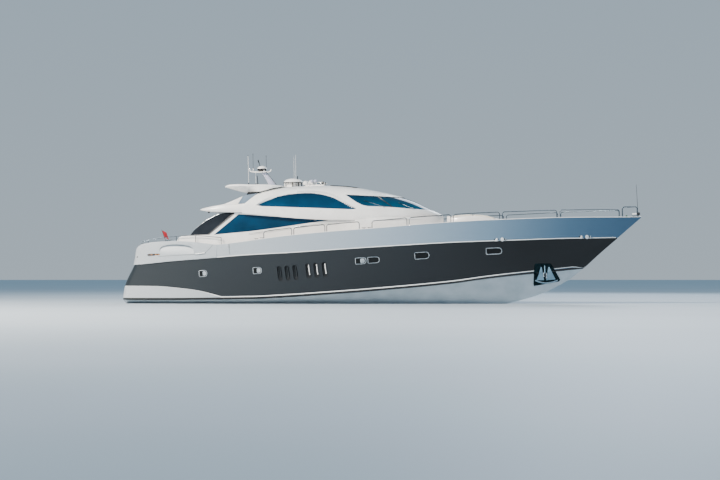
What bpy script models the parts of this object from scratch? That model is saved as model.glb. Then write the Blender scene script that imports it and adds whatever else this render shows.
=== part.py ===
# A 33 m sport motor yacht, afloat: bow at +X, port side at +Y, +Z up.
# The origin is on the centreline amidships, on the still waterline.
# Lengths are in metres. Tables run from the stern to the bow.
import bpy
import bmesh
import math
from mathutils import Matrix, Vector

# Driving sizes
FIT_GAP = 0.0004            # between pieces that touch
KNUCKLE_STEM_X = 14.98      # where the colour line meets the stem
CHINE_STEM_X = 12.78        # where the chine meets the stem
BULWARK_AFT_X = -10.2
BULWARK_THICK = 0.13
SOLE_Z = 2.90               # cockpit and saloon floor
PLATFORM_Z = 0.80
PLATFORM_THICK = 0.16
WELL_HALF_WIDTH = 2.46      # clear width between the stern wings, halved
WELL_FORWARD_X = -12.95
GARAGE_HALF_WIDTH = 1.58
GARAGE_FORWARD_X = -10.6
GARAGE_FLOOR_Z = 0.75
HOUSE_WALL = 0.10
SALOON_FORE_X = -4.0
LOWER_HOUSE_Y = 2.46        # outer face of the lower house sides
RAIL_RADIUS = 0.022
CAP_HEIGHT = 0.035
GATE_X = (-9.95, -9.35)
HINGE_RADIUS = 0.025
HATCH_HINGE_RADIUS = 0.02
GARAGE_HINGE = (-14.38, 2.49)
GATE_HINGE_Y = -3.125
WING_UNDER_Z = 6.745
DOOR_WIDTH = 1.15
DOOR_TOP = 5.05
SUNROOF_X = (-3.1, -1.5)
SUNROOF_HALF = 0.95
SUNROOF_LAP = 0.06

# Hull lines: (x, half breadth) and (x, height above the waterline)
SHEER_Y = [(-16.6, 2.90), (-14, 3.10), (-10, 3.25), (-6, 3.30), (-2, 3.30), (2, 3.24), (5, 3.08),
           (8, 2.72), (10.5, 2.20), (12.5, 1.62), (14.5, 0.88), (15.7, 0.36), (16.49, 0.012)]
SHEER_Z = [(-16.6, 3.30), (-10.2, 3.40), (-9.2, 3.47), (-7.9, 3.61), (-6.3, 3.80), (-3.9, 4.00),
           (-2.3, 4.10), (0, 4.22), (2.8, 4.40), (4.8, 4.50), (6.5, 4.57), (9, 4.63), (11.4, 4.67),
           (13.3, 4.67), (15, 4.66), (16.49, 4.67)]
KNUCKLE_Y = [(-16.6, 2.82), (-14, 3.02), (-10, 3.20), (-6, 3.24), (-2, 3.20), (2, 3.06), (5, 2.78),
             (8, 2.27), (10.5, 1.64), (12.5, 1.00), (14, 0.42), (14.98, 0.012)]
KNUCKLE_Z = [(-16.6, 2.22), (-15.7, 2.27), (-12.7, 2.45), (-10.4, 2.58), (-8.2, 2.71), (-5.5, 2.80),
             (-2.3, 2.95), (1.5, 3.12), (4.9, 3.25), (8.9, 3.33), (11.4, 3.38), (14.98, 3.40)]
CHINE_Y = [(-16.6, 2.66), (-14, 2.84), (-10, 2.94), (-6, 2.92), (-2, 2.82), (2, 2.56), (5, 2.18),
           (7.5, 1.68), (9.5, 1.16), (11.35, 0.56), (12.4, 0.14), (12.78, 0.012)]
CHINE_Z = [(-16.6, 0.02), (-12, -0.04), (-8, -0.05), (-6.4, 0.0), (-2.4, 0.20), (1.2, 0.43),
           (4.8, 0.72), (6.4, 0.92), (7.8, 1.07), (9.6, 1.23), (11.35, 1.38), (12.78, 1.51)]
KEEL_Z = [(-16.6, -0.86), (-12, -1.02), (-6, -1.15), (0, -1.20), (4, -1.10), (7, -0.80), (9, -0.40),
          (10.3, 0.02), (11.32, 0.49), (12.05, 0.93), (12.78, 1.50), (13.88, 2.47), (14.98, 3.39),
          (16.49, 4.66)]
DECK_Z = [(-10.2, 3.02), (-6, 3.40), (-2, 3.68), (2, 3.96), (6, 4.26), (9, 4.42), (13, 4.50), (16.4, 4.54)]
TRANSOM_RAKE = [(-1.0, 0.0), (0.16, 0.0), (0.88, 0.15), (2.25, 0.83), (2.82, 1.09), (3.26, 1.20),
                (3.9, 1.30)]
SIDE_STATIONS = (-10.2, -8.6, -7, -5.5, -4, -2.5, -1, 0.5, 2, 3.5, 5, 6.5, 8, 9.3, 10.4, 11.4, 12.3,
                 13.1, 13.8, 14.4, 14.8, 14.95)
HULL_STATIONS = (-16.55, -16.45, -16.2, -15.6, -14.4, -13, -11.5) + SIDE_STATIONS
STEM_STATIONS = (15.0, 15.4, 15.9, 16.3, 16.46)
CORNER_INSET = {-16.55: 0.42, -16.45: 0.17, -16.2: 0.03}
CHINE_FLAT = 0.14
HULL_FLIP = 7               # index of the loops' first edge on the port side

# Quarter mouldings beside the cockpit, in side view (x, z)
QUARTER_OUTLINE = [(-15.62, 2.30), (-15.46, 2.82), (-15.38, 3.16), (-15.16, 3.41), (-14.75, 3.55),
                   (-14.15, 3.64), (-13.4, 3.68), (-12.6, 3.69), (-11.9, 3.64), (-11.1, 3.55),
                   (-10.2, 3.41), (-10.16, 3.405), (-10.16, 2.5), (-15.62, 1.9)]
QUARTER_RECESS = [(-13.76, 2.86), (-13.76, 3.30), (-13.2, 3.45), (-12.69, 3.49), (-12.1, 3.43),
                  (-11.65, 3.28), (-11.63, 2.96)]
QUARTER_IN_Y = 2.50

# Upper house: crown, lip and shape of its sections
CROWN_Z = [(-8.6, 6.92), (-7.5, 7.03), (-6.5, 7.09), (-5, 7.12), (-3.7, 7.12), (-2.3, 7.04),
           (-1.2, 6.88), (0, 6.63), (1, 6.38), (1.6, 6.21), (2.2, 5.98), (2.8, 5.67), (3.3, 5.40),
           (3.8, 5.14), (3.98, 5.06)]
LIP_Z = [(-8.6, 5.36), (-6.8, 5.13), (-4.9, 4.90), (-3.1, 4.80), (-1.4, 4.78), (0, 4.93), (2.7, 4.96),
         (3.98, 4.99)]
LIP_Y = [(-8.6, 2.72), (-6, 2.74), (-4, 2.70), (-2, 2.60), (0, 2.42), (1, 2.22), (2, 1.88), (3, 1.33),
         (3.5, 0.93), (3.85, 0.45), (3.98, 0.10)]
ROUNDNESS = [(-8.6, 3.1), (-2, 3.1), (1, 2.7), (3.98, 2.3)]
SHELL_STATIONS = (-8.6, -7.6, -6.6, -5.6, -4.6, -3.6, -2.6, -1.7, -0.9, -0.2, 0.5, 1.1, 1.6, 2.1,
                  2.6, 3.0, 3.4, 3.7, 3.9, 3.98)
SHELL_ARC_STEPS = 9
SHELL_WALL_Y = 0.30
SHELL_ROOF = 0.08
GLASS_SET_BACK = 0.03
GLASS_THICK = 0.03

# Openings in side view (x, z)
ARCH_WINDOW = [(-7.64, 5.81), (-6.7, 6.25), (-5.87, 6.48), (-4.91, 6.59), (-4.08, 6.55),
               (-3.3, 6.39), (-2.34, 5.98), (-1.34, 5.46)]
WINDSCREEN = [(-2.04, 6.43), (-0.95, 5.74), (0.05, 5.62), (0.96, 5.56), (1.88, 5.47), (2.6, 5.42),
              (3.34, 5.375), (3.6, 5.6), (1.7, 6.5), (1.46, 6.235), (0.9, 6.24), (-0.11, 6.30)]
MULLION = ((-0.18, 6.40), (1.06, 5.50))
ARCH_AFT_CURVE = [(-8.42, 5.98), (-8.25, 6.15), (-7.9, 6.52), (-7.3, 6.83), (-6.7, 6.98), (-6.1, 7.06)]
LOWER_WINDOW = [(-10.2, 4.07), (-7.48, 4.20), (-4.89, 4.54), (-3.35, 4.76), (-4.9, 4.84), (-6.8, 5.06),
                (-8.81, 5.30)]
QUARTER_SCREEN = [(-12.05, 4.0604), (-10.70, 4.0604), (-9.25, 5.40), (-9.62, 5.455), (-10.45, 5.40),
                  (-11.16, 5.02)]

# Overhang over the aft deck
OVERHANG_TOP = [(-11.5, 5.70), (-10.9, 5.82), (-10.36, 5.91), (-9.42, 5.98), (-8.602, 5.98)]
OVERHANG_BOTTOM = [(-11.5, 5.665), (-10.9, 5.55), (-9.7, 5.47), (-8.602, 5.42)]
OVERHANG_Y = [(-11.5, 1.9), (-11.42, 2.22), (-11.2, 2.45), (-10.8, 2.60), (-10, 2.70), (-8.602, 2.72)]
OVERHANG_STATIONS = (-11.5, -11.42, -11.2, -10.8, -10.2, -9.4, -8.602)

# Rails: aft end, fore end, height over the sheer
RAIL_CORNER = 0.12
RAIL_SECTIONS = [(-7.9, -5.5, 0.47), (-5.2, -3.45, 0.47), (-3.15, -1.15, 0.48), (-0.45, 1.80, 0.48),
                 (2.09, 4.64, 0.48), (4.95, 7.61, 0.48), (8.04, 11.18, 0.48), (11.65, 14.92, 0.49),
                 (15.45, 16.16, 0.66)]

# Foredeck lounge moulding: x, height and half breadth
LOUNGE_SHAPE = [(4.30, 4.98, 1.20), (4.85, 5.01, 1.45), (5.8, 5.05, 1.60), (6.4, 5.01, 1.58),
                (7.03, 4.89, 1.50), (7.59, 4.74, 1.35), (7.95, 4.50, 1.15)]

# Aerials: x, y, foot and top
WHIPS = [(-8.43, -0.5, 7.1954, 9.19), (-8.17, 0.5, 7.2004, 9.25), (-7.26, 0.24, 8.16, 9.21)]

# Mast sections: aft edge, fore edge, height and half thickness
MAST_SECTIONS = [(-7.66, -6.80, 7.14, 0.13), (-7.80, -7.20, 7.65, 0.10), (-7.93, -7.47, 8.12, 0.08)]

# Running gear
SHAFT_Y = 1.45
SHAFT_SLOPE = 0.13
SHAFT_FORE_X = -9.2
PROP_X = -14.15
PROP_Z = -1.24
PROP_BLADES = 5
PROP_SECTIONS = [(0.06, 0.16, 62), (0.18, 0.30, 50), (0.32, 0.40, 38), (0.45, 0.36, 30), (0.54, 0.14, 26)]
RUDDER_STOCK_X = -15.25
RUDDER_BOSS_Z = -0.57
RUDDER_OUTLINE = [(-14.95, -0.62), (-15.0, -1.55), (-15.55, -1.60), (-15.70, -0.62)]

# Helm
WHEEL_CENTRE = (-0.929, -1.10, 4.968)
WHEEL_TILT = math.radians(46.5)

# Bow gear
ANCHOR_PLATE = [(10.02, 1.78), (10.92, 1.80), (11.35, 0.80), (11.20, 0.55), (9.80, 0.45), (9.75, 0.75)]
ANCHOR = [(10.32, 1.55), (10.62, 1.55), (10.70, 1.0), (11.12, 0.72), (10.95, 0.60), (10.05, 0.55),
          (9.90, 0.70), (10.25, 1.0)]
HATCHES = [(8.9, 0.0), (10.7, 0.0)]


def table_at(table, x):
    """Height or half breadth at x, on a smooth curve through the table's points."""
    if x <= table[0][0]:
        return table[0][1]
    if x >= table[-1][0]:
        return table[-1][1]
    i = next(k for k in range(len(table) - 1) if table[k + 1][0] >= x)
    (x0, y0), (x1, y1) = table[i], table[i + 1]

    def slope(k):
        if k == 0 or k == len(table) - 1:
            a, b = (0, 1) if k == 0 else (-2, -1)
            return (table[b][1] - table[a][1]) / (table[b][0] - table[a][0])
        before = (table[k][1] - table[k - 1][1]) / (table[k][0] - table[k - 1][0])
        after = (table[k + 1][1] - table[k][1]) / (table[k + 1][0] - table[k][0])
        if before * after <= 0:
            return 0.0
        return 2 * before * after / (before + after)

    h = x1 - x0
    t = (x - x0) / h
    return (y0 * (2 * t ** 3 - 3 * t ** 2 + 1) + slope(i) * h * (t ** 3 - 2 * t ** 2 + t)
            + y1 * (3 * t ** 2 - 2 * t ** 3) + slope(i + 1) * h * (t ** 3 - t ** 2))


def line_at(points, x):
    """Height at x on straight lines between points."""
    for (x0, z0), (x1, z1) in zip(points, points[1:]):
        if x0 <= x <= x1:
            return z0 + (z1 - z0) * (x - x0) / (x1 - x0)
    return points[0][1] if x < points[0][0] else points[-1][1]


def new_material(name, color, roughness, metallic=0.0):
    material = bpy.data.materials.new(name)
    material.use_nodes = True
    shader = material.node_tree.nodes["Principled BSDF"]
    shader.inputs["Base Color"].default_value = (*color, 1.0)
    shader.inputs["Roughness"].default_value = roughness
    shader.inputs["Metallic"].default_value = metallic
    material.diffuse_color = (*color, 1.0)
    return material


def add_object(name, mesh, material=None):
    made = bpy.data.objects.new(name, mesh)
    yacht.objects.link(made)
    if material:
        mesh.materials.clear()
        mesh.materials.append(material)
    return made


def from_bmesh(name, bm, material=None):
    bmesh.ops.recalc_face_normals(bm, faces=bm.faces)
    mesh = bpy.data.meshes.new(name)
    bm.to_mesh(mesh)
    bm.free()
    return add_object(name, mesh, material)


def loft(name, sections, material=None, flip_from=99):
    """A closed skin over closed loops, capped at both ends; diagonals run the other way from flip_from."""
    bm = bmesh.new()
    rings = [[bm.verts.new(p) for p in loop] for loop in sections]
    count = len(rings[0])
    for ring, after in zip(rings, rings[1:]):
        for i in range(count):
            j = (i + 1) % count
            if i < flip_from:
                bm.faces.new((ring[i], ring[j], after[j]))
                bm.faces.new((ring[i], after[j], after[i]))
            else:
                bm.faces.new((ring[i], ring[j], after[i]))
                bm.faces.new((ring[j], after[j], after[i]))
    bm.faces.new(rings[0])
    bm.faces.new(rings[-1])
    return from_bmesh(name, bm, material)


def prism(name, outline, low, high, material=None, axis="Y"):
    """A flat outline pushed along an axis. The outline is (x, z) for Y, (x, y) for Z, (y, z) for X."""
    place = {"Y": lambda a, b: (a, low, b), "Z": lambda a, b: (a, b, low), "X": lambda a, b: (low, a, b)}
    push = {"Y": (0, high - low, 0), "Z": (0, 0, high - low), "X": (high - low, 0, 0)}
    bm = bmesh.new()
    face = bm.faces.new([bm.verts.new(place[axis](a, b)) for a, b in outline])
    pushed = bmesh.ops.extrude_face_region(bm, geom=[face])
    moved = [v for v in pushed["geom"] if isinstance(v, bmesh.types.BMVert)]
    bmesh.ops.translate(bm, vec=push[axis], verts=moved)
    return from_bmesh(name, bm, material)


def box(name, low, high, material=None):
    bm = bmesh.new()
    size = [h - l for l, h in zip(low, high)]
    middle = [(h + l) / 2 for l, h in zip(low, high)]
    bmesh.ops.create_cube(bm, size=1.0, matrix=Matrix.Translation(middle) @ Matrix.Diagonal((*size, 1)))
    return from_bmesh(name, bm, material)


def rod(name, start, end, radius, end_radius=None, sides=12, material=None):
    """A round bar or cone from one point to another."""
    start, end = Vector(start), Vector(end)
    along = end - start
    turn = along.to_track_quat("Z", "Y").to_matrix().to_4x4()
    bm = bmesh.new()
    bmesh.ops.create_cone(bm, cap_ends=True, segments=sides, radius1=radius,
                          radius2=radius if end_radius is None else end_radius, depth=along.length,
                          matrix=Matrix.Translation((start + end) / 2) @ turn)
    return from_bmesh(name, bm, material)


def tube(name, points, radius, material=None, resolution=2):
    """A bent tube along a line of points, with filled ends, as a mesh."""
    data = bpy.data.curves.new(name, "CURVE")
    data.dimensions = "3D"
    data.bevel_depth = radius
    data.bevel_resolution = resolution
    data.use_fill_caps = True
    spline = data.splines.new("POLY")
    spline.points.add(len(points) - 1)
    for point, co in zip(spline.points, points):
        point.co = (*co, 1.0)
    curve = bpy.data.objects.new(name, data)
    yacht.objects.link(curve)
    bpy.context.view_layer.update()
    graph = bpy.context.evaluated_depsgraph_get()
    mesh = bpy.data.meshes.new_from_object(curve.evaluated_get(graph))
    bpy.data.objects.remove(curve)
    bm = bmesh.new()
    bm.from_mesh(mesh)
    bpy.data.meshes.remove(mesh)
    bmesh.ops.remove_doubles(bm, verts=bm.verts, dist=0.0001)
    return from_bmesh(name, bm, material)


def settle(made):
    """Applies an object's modifiers to its mesh."""
    bpy.context.view_layer.update()
    graph = bpy.context.evaluated_depsgraph_get()
    mesh = bpy.data.meshes.new_from_object(made.evaluated_get(graph))
    made.modifiers.clear()
    made.data = mesh
    return made


def combine(made, others, operation):
    """Joins or cuts an object with others, one after another."""
    for other in others:
        modifier = made.modifiers.new(operation, "BOOLEAN")
        modifier.object = other
        modifier.operation = operation
        modifier.solver = "EXACT"
        settle(made)
        bpy.data.objects.remove(other)
    return made


def rounded(made, width, segments=2, angle=40):
    """Rounds an object's sharp edges."""
    modifier = made.modifiers.new("Round", "BEVEL")
    modifier.width = width
    modifier.segments = segments
    modifier.limit_method = "ANGLE"
    modifier.angle_limit = math.radians(angle)
    return settle(made)


def port_copy(made, name):
    """The mirror image of a starboard piece, on the port side."""
    bm = bmesh.new()
    bm.from_mesh(made.data)
    bmesh.ops.scale(bm, vec=(1, -1, 1), verts=bm.verts)
    bmesh.ops.reverse_faces(bm, faces=bm.faces)
    mesh = bpy.data.meshes.new(name)
    bm.to_mesh(mesh)
    bm.free()
    return add_object(name, mesh, made.data.materials[0] if made.data.materials else None)


def place_origin(made, point):
    """Puts a moving piece's origin on the axis that it turns or slides on."""
    made.data.transform(Matrix.Translation(-Vector(point)))
    made.location = point


def shade_round(angle=32):
    """Smooth shading on round faces, with the real corners kept sharp."""
    for made in yacht.objects:
        made.data.shade_smooth()
        made.data.set_sharp_from_angle(angle=math.radians(angle))


def shrunk(outline, by):
    """An outline moved in by a small distance, for a pane that fits its opening."""
    area = sum(a[0] * b[1] - b[0] * a[1] for a, b in zip(outline, outline[1:] + outline[:1]))
    side = 1 if area > 0 else -1
    moved = []
    for before, here, after in zip(outline[-1:] + outline[:-1], outline, outline[1:] + outline[:1]):
        a = Vector((here[0] - before[0], here[1] - before[1])).normalized()
        b = Vector((after[0] - here[0], after[1] - here[1])).normalized()
        normal = (Vector((-a.y, a.x)) + Vector((-b.y, b.x))) * side
        scale = by / max(0.3, normal.length_squared / 2)
        moved.append((here[0] + normal.x * scale, here[1] + normal.y * scale))
    return moved


def hull_point(x, y, z, inset):
    """A point of the hull, moved forward by the transom's rake near the stern."""
    share = max(0.0, min(1.0, (-13 - x) / 3.5))
    return (x + table_at(TRANSOM_RAKE, z) * share, max(0.0, y - inset), z)


def hull_section(x):
    """Half section from the keel up to the colour line."""
    inset = CORNER_INSET.get(x, 0.0)
    keel = table_at(KEEL_Z, x)
    chine_y = table_at(CHINE_Y, x) if x < CHINE_STEM_X else 0.006
    chine_z = table_at(CHINE_Z, x) if x < CHINE_STEM_X else keel + 0.012
    knuckle_y, knuckle_z = table_at(KNUCKLE_Y, x), table_at(KNUCKLE_Z, x)
    flat = CHINE_FLAT * min(1.0, chine_y)
    flare = knuckle_y - chine_y
    hollow = 0.16 * flare * min(1.0, max(0.0, (x - 2) / 6))
    points = [(0.0, keel), (chine_y * 0.5, keel + (chine_z - keel) * 0.47),
              (chine_y - flat, chine_z - 0.03), (chine_y, chine_z)]
    for share in (0.35, 0.7):
        points.append((chine_y + flare * share - hollow * (1 - abs(2 * share - 1)),
                       chine_z + (knuckle_z - chine_z) * share))
    points.append((knuckle_y, knuckle_z))
    return [hull_point(x, y, z, inset) for y, z in points]


def hull_top_cutter():
    """Everything below the hull's top edge, raised by the fit gap."""
    edge = [hull_section(x)[-1] for x in HULL_STATIONS]
    outline = [(x, z + FIT_GAP) for x, y, z in edge]
    return prism("hull_top_cutter", [(-17, 1), (-17, outline[0][1])] + outline + [(14.95, 1)], -5, 5)


def full_loop(half):
    """A closed loop from a half section that starts on the centreline."""
    starboard = [(x, -y, z) for x, y, z in half]
    return starboard + list(reversed(half[1:]))


def make_hull():
    hull = loft("hull", [full_loop(hull_section(x)) for x in HULL_STATIONS], graphite, HULL_FLIP)
    well = box("well_cutter", (-18, -WELL_HALF_WIDTH, PLATFORM_Z - PLATFORM_THICK),
               (WELL_FORWARD_X, WELL_HALF_WIDTH, 4.5))
    garage = box("garage_cutter", (WELL_FORWARD_X - 0.1, -GARAGE_HALF_WIDTH, GARAGE_FLOOR_Z),
                 (GARAGE_FORWARD_X, GARAGE_HALF_WIDTH, 4.5))
    bosses = [rod("boss", (RUDDER_STOCK_X, y, RUDDER_BOSS_Z), (RUDDER_STOCK_X, y, -0.25), 0.12, None, 16)
              for y in (-SHAFT_Y, SHAFT_Y)]
    combine(hull, bosses, "UNION")
    return combine(hull, [well, garage], "DIFFERENCE")


def topside_y(x, z):
    """Half breadth of the silver band's outer face."""
    if x >= KNUCKLE_STEM_X:
        low_y, low_z = 0.006, table_at(KEEL_Z, x)
    else:
        low_y, low_z = table_at(KNUCKLE_Y, x), table_at(KNUCKLE_Z, x)
    high_y, high_z = table_at(SHEER_Y, x), table_at(SHEER_Z, x)
    share = (z - low_z) / max(0.001, high_z - low_z)
    return low_y + (high_y - low_y) * share


def bulwark_thickness(x):
    """The bulwark's thickness measured across the boat, more where the side runs inwards."""
    slope = (table_at(SHEER_Y, x + 0.05) - table_at(SHEER_Y, x - 0.05)) / 0.1
    return BULWARK_THICK * math.sqrt(1 + slope * slope)


def bulwark_edges(x):
    """Outer and inner half breadths and heights of the bulwark's two edges at x."""
    low_z = table_at(KNUCKLE_Z, x) if x < KNUCKLE_STEM_X else table_at(KEEL_Z, x)
    low_z += FIT_GAP
    high_z = table_at(SHEER_Z, x)
    thick = bulwark_thickness(x)
    low_y, high_y = topside_y(x, low_z), topside_y(x, high_z)
    low_in, high_in = max(FIT_GAP, low_y - thick), max(FIT_GAP, high_y - thick)
    return max(low_y, low_in + 0.004), max(high_y, high_in + 0.004), low_in, high_in, low_z, high_z


def make_bulwark():
    """The silver side from the colour line to the sheer, starboard."""
    sections = []
    for x in SIDE_STATIONS + STEM_STATIONS:
        low_y, high_y, low_in, high_in, low_z, high_z = bulwark_edges(x)
        sections.append([(x, -low_y, low_z), (x, -high_y, high_z), (x, -high_in, high_z),
                         (x, -low_in, low_z)])
    return loft("topside_starboard", sections, silver)


def trim_to_bulwarks(made):
    """Cuts away what lies outside the bulwarks' inner faces, on both sides."""
    sections = []
    for x in SIDE_STATIONS + STEM_STATIONS:
        low_y, high_y, low_in, high_in, low_z, high_z = bulwark_edges(x)
        low_in, high_in = -low_in + FIT_GAP, -high_in + FIT_GAP
        sections.append([(x, -6, low_z - 0.5), (x, -6, high_z), (x, high_in, high_z), (x, low_in, low_z),
                         (x, low_in, low_z - 0.5)])
    starboard = loft("outside_starboard", sections, silver)
    port = port_copy(starboard, "outside_port")
    return combine(made, [starboard, port], "DIFFERENCE")


def make_side_gate(topside):
    """A boarding gate cut out of the topside."""
    aft, fore = GATE_X
    bottom = table_at(DECK_Z, fore) + 0.05
    gate = settle(add_object("side_gate_starboard", topside.data.copy(), silver))
    cutter = box("gate_cutter", (aft, -3.6, bottom), (fore, -2.6, 5))
    hinge_x = fore - HINGE_RADIUS - FIT_GAP
    piece = box("gate_piece", (aft + 0.006, -3.6, bottom + 0.006), (hinge_x, -2.6, 5))
    combine(gate, [piece], "INTERSECT")
    barrel = rod("barrel", (hinge_x, GATE_HINGE_Y, bottom + 0.03), (hinge_x, GATE_HINGE_Y, bottom + 0.26),
                 HINGE_RADIUS, None, 16)
    combine(gate, [barrel], "UNION")
    combine(topside, [cutter], "DIFFERENCE")
    return gate


def make_deck():
    """The foredeck and the side decks as one moulding, open over the saloon."""
    low_line = [(x, table_at(KNUCKLE_Z, x) + FIT_GAP) for x in SIDE_STATIONS]
    top_line = [(x, table_at(DECK_Z, x)) for x in SIDE_STATIONS]
    sections = []
    for x in (BULWARK_AFT_X + 0.051,) + SIDE_STATIONS[1:-2]:
        low, top = line_at(low_line, x), line_at(top_line, x)
        sections.append([(x, -4, low), (x, -4, top), (x, 4, top), (x, 4, low)])
    deck = trim_to_bulwarks(loft("deck", sections, deck_white))
    inner = LOWER_HOUSE_Y - HOUSE_WALL
    return combine(deck, [box("saloon_space", (-11, -inner, 1), (SALOON_FORE_X, inner, 6))], "DIFFERENCE")


def make_quarter():
    """The silver moulding beside the cockpit, with its recessed panel, starboard."""
    quarter = prism("quarter", QUARTER_OUTLINE, -3.6, -QUARTER_IN_Y, silver)
    outer = [(-15.75, -2.30), (-15.6, -2.62), (-15.3, -2.86), (-14.8, -3.00)]
    outer += [(x, -table_at(SHEER_Y, x) + 0.005) for x in (-14, -12.5, -11, BULWARK_AFT_X + 0.2)]
    plan = prism("quarter_plan", outer + [(BULWARK_AFT_X + 0.2, -2.30)], 1.5, 4.5, axis="Z")
    combine(quarter, [plan], "INTERSECT")
    recess = prism("recess_cutter", QUARTER_RECESS, -3.6, -2.95)
    combine(quarter, [hull_top_cutter(), recess], "DIFFERENCE")
    return rounded(quarter, 0.035, 2, 35)


def clear_of(made, neighbours, shift=(0, 0, FIT_GAP)):
    """Seats a piece on its neighbours: cuts it with their meshes, moved by the fit gap."""
    copies = []
    for neighbour in neighbours:
        copy = add_object("seat", neighbour.data.copy())
        copy.data.transform(Matrix.Translation(shift))
        copies.append(copy)
    return combine(made, copies, "DIFFERENCE")


def make_stern_parts():
    """Platform, stairs, garage door, cockpit sole and sunpad base."""
    side = WELL_HALF_WIDTH - FIT_GAP
    floor_z = PLATFORM_Z - PLATFORM_THICK + FIT_GAP
    outline = [(-16.42, -2.1), (-16.30, -2.30), (-16.05, -side), (-14.62, -side), (-14.62, side),
               (-16.05, side), (-16.30, 2.30), (-16.42, 2.1)]
    platform = prism("stern_moulding", outline, floor_z, PLATFORM_Z, teak, axis="Z")
    steps, first_x, run, rise = 7, -14.69, 0.245, 0.30
    profile = [(first_x, floor_z), (first_x, PLATFORM_Z)]
    z = PLATFORM_Z
    for step in range(steps):
        if step:
            profile.append((first_x + run * step, z))
        z += rise
        profile.append((first_x + run * step, z))
    front = WELL_FORWARD_X - FIT_GAP
    profile += [(front, z), (front, floor_z)]
    profile.pop(1)
    inner = -GARAGE_HALF_WIDTH - 0.03
    stairs = prism("stairs", profile, -side, inner, deck_white)
    hinge_x, hinge_z = GARAGE_HINGE
    door = [(-14.62, 0.82), (hinge_x - 0.045, 2.44), (hinge_x - 0.01, hinge_z - 0.012),
            (hinge_x + 0.01, hinge_z - 0.012), (hinge_x + 0.035, 2.44), (-14.54, 0.82)]
    leaf = prism("garage_door", door, inner + 0.006, -inner - 0.006, silver)
    barrel = rod("barrel", (hinge_x, -1.5, hinge_z), (hinge_x, 1.5, hinge_z), HINGE_RADIUS, None, 16)
    combine(leaf, [barrel], "UNION")
    place_origin(leaf, (hinge_x, 0, hinge_z))
    lip_x = hinge_x + HINGE_RADIUS + FIT_GAP
    outline = [(lip_x, hinge_z - 0.006), (lip_x, 2.54), (-14.2, 2.98), (front, 2.98), (front, 2.46),
               (-14.28, 2.46)]
    base = prism("base", outline, inner - 0.02, -inner + 0.02, deck_white)
    combine(platform, [port_copy(stairs, "stairs_port"), stairs, base], "UNION")
    pad = box("aft_sunpad", (-13.85, -1.48, 2.98 + FIT_GAP), (-12.99, 1.48, 3.14), cushion_cream)
    rounded(pad, 0.04, 2, 35)
    wide, house = QUARTER_IN_Y - FIT_GAP, LOWER_HOUSE_Y - HOUSE_WALL - FIT_GAP
    aft, step_x, fore = WELL_FORWARD_X + FIT_GAP, BULWARK_AFT_X - FIT_GAP, -9.62
    plan = [(aft, -wide), (step_x, -wide), (step_x, -house), (fore, -house), (fore, house), (step_x, house),
            (step_x, wide), (aft, wide)]
    floor = prism("cockpit_sole", plan, 1.5, SOLE_Z, teak, axis="Z")
    combine(floor, [hull_top_cutter()], "DIFFERENCE")
    return platform


def shell_section(x, side_in, top_in, base_drop=0.0):
    """The upper house's outline across the boat at x, moved in at its sides and its top."""
    lip_y, lip_z = max(0.02, table_at(LIP_Y, x) - side_in), table_at(LIP_Z, x) - base_drop
    crown = table_at(CROWN_Z, x) - top_in
    power = 2 / table_at(ROUNDNESS, x)
    half = []
    for step in range(SHELL_ARC_STEPS):
        angle = math.pi / 2 * step / SHELL_ARC_STEPS
        half.append((lip_y * math.cos(angle) ** power, lip_z + (crown - lip_z) * math.sin(angle) ** power))
    port = [(x, y, z) for y, z in half]
    starboard = [(x, -y, z) for y, z in reversed(half)]
    return port + [(x, 0.0, crown)] + starboard


def shell_solid(name, stations, side_in, top_in, base_drop=0.0):
    sections = [shell_section(x, side_in, top_in, base_drop) for x in stations]
    return loft(name, sections, None, SHELL_ARC_STEPS)


def inside_stations():
    return (-8.9,) + tuple(x for x in SHELL_STATIONS if -8 < x < 3.1)


def sunroof_hole(name, grow):
    (aft, fore), half = SUNROOF_X, SUNROOF_HALF + grow
    return box(name, (aft - grow, -half, 6.4), (fore + grow, half, 7.6))


def make_upper_house():
    """Roof, arches and windscreen frame as one hollow moulding."""
    house = shell_solid("upper_house", SHELL_STATIONS, 0.0, 0.0)
    house.data.materials.append(gelcoat)
    aft = [(-9.2, 5.98), *ARCH_AFT_CURVE, (-6.1, 7.6), (-9.2, 7.6)]
    cutters = [shell_solid("inside", inside_stations(), SHELL_WALL_Y, SHELL_ROOF, 0.06),
               prism("aft_cutter", aft, -3.5, 3.5), prism("arch_cutter", ARCH_WINDOW, -3.5, 3.5),
               prism("screen_cutter", WINDSCREEN, -3.5, 3.5), sunroof_hole("sunroof_cutter", 0.0)]
    return combine(house, cutters, "DIFFERENCE")


def make_sunroof():
    """A tinted panel that lies over the roof opening and tilts up at its front edge."""
    panel = shell_solid("sunroof", SHELL_STATIONS[4:12], -0.045, -0.045)
    panel.data.materials.append(glass)
    combine(panel, [shell_solid("under", SHELL_STATIONS[3:13], -0.006, -0.006, 0.2)], "DIFFERENCE")
    combine(panel, [sunroof_hole("edge", SUNROOF_LAP)], "INTERSECT")
    x = SUNROOF_X[0] - SUNROOF_LAP
    z = line_at([(s, table_at(CROWN_Z, s)) for s in SHELL_STATIONS], x) + HATCH_HINGE_RADIUS + FIT_GAP
    barrel = rod("barrel", (x, -0.15, z), (x, 0.15, z), HATCH_HINGE_RADIUS, None, 16)
    combine(panel, [barrel], "UNION")
    place_origin(panel, (x, 0, z))


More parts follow.
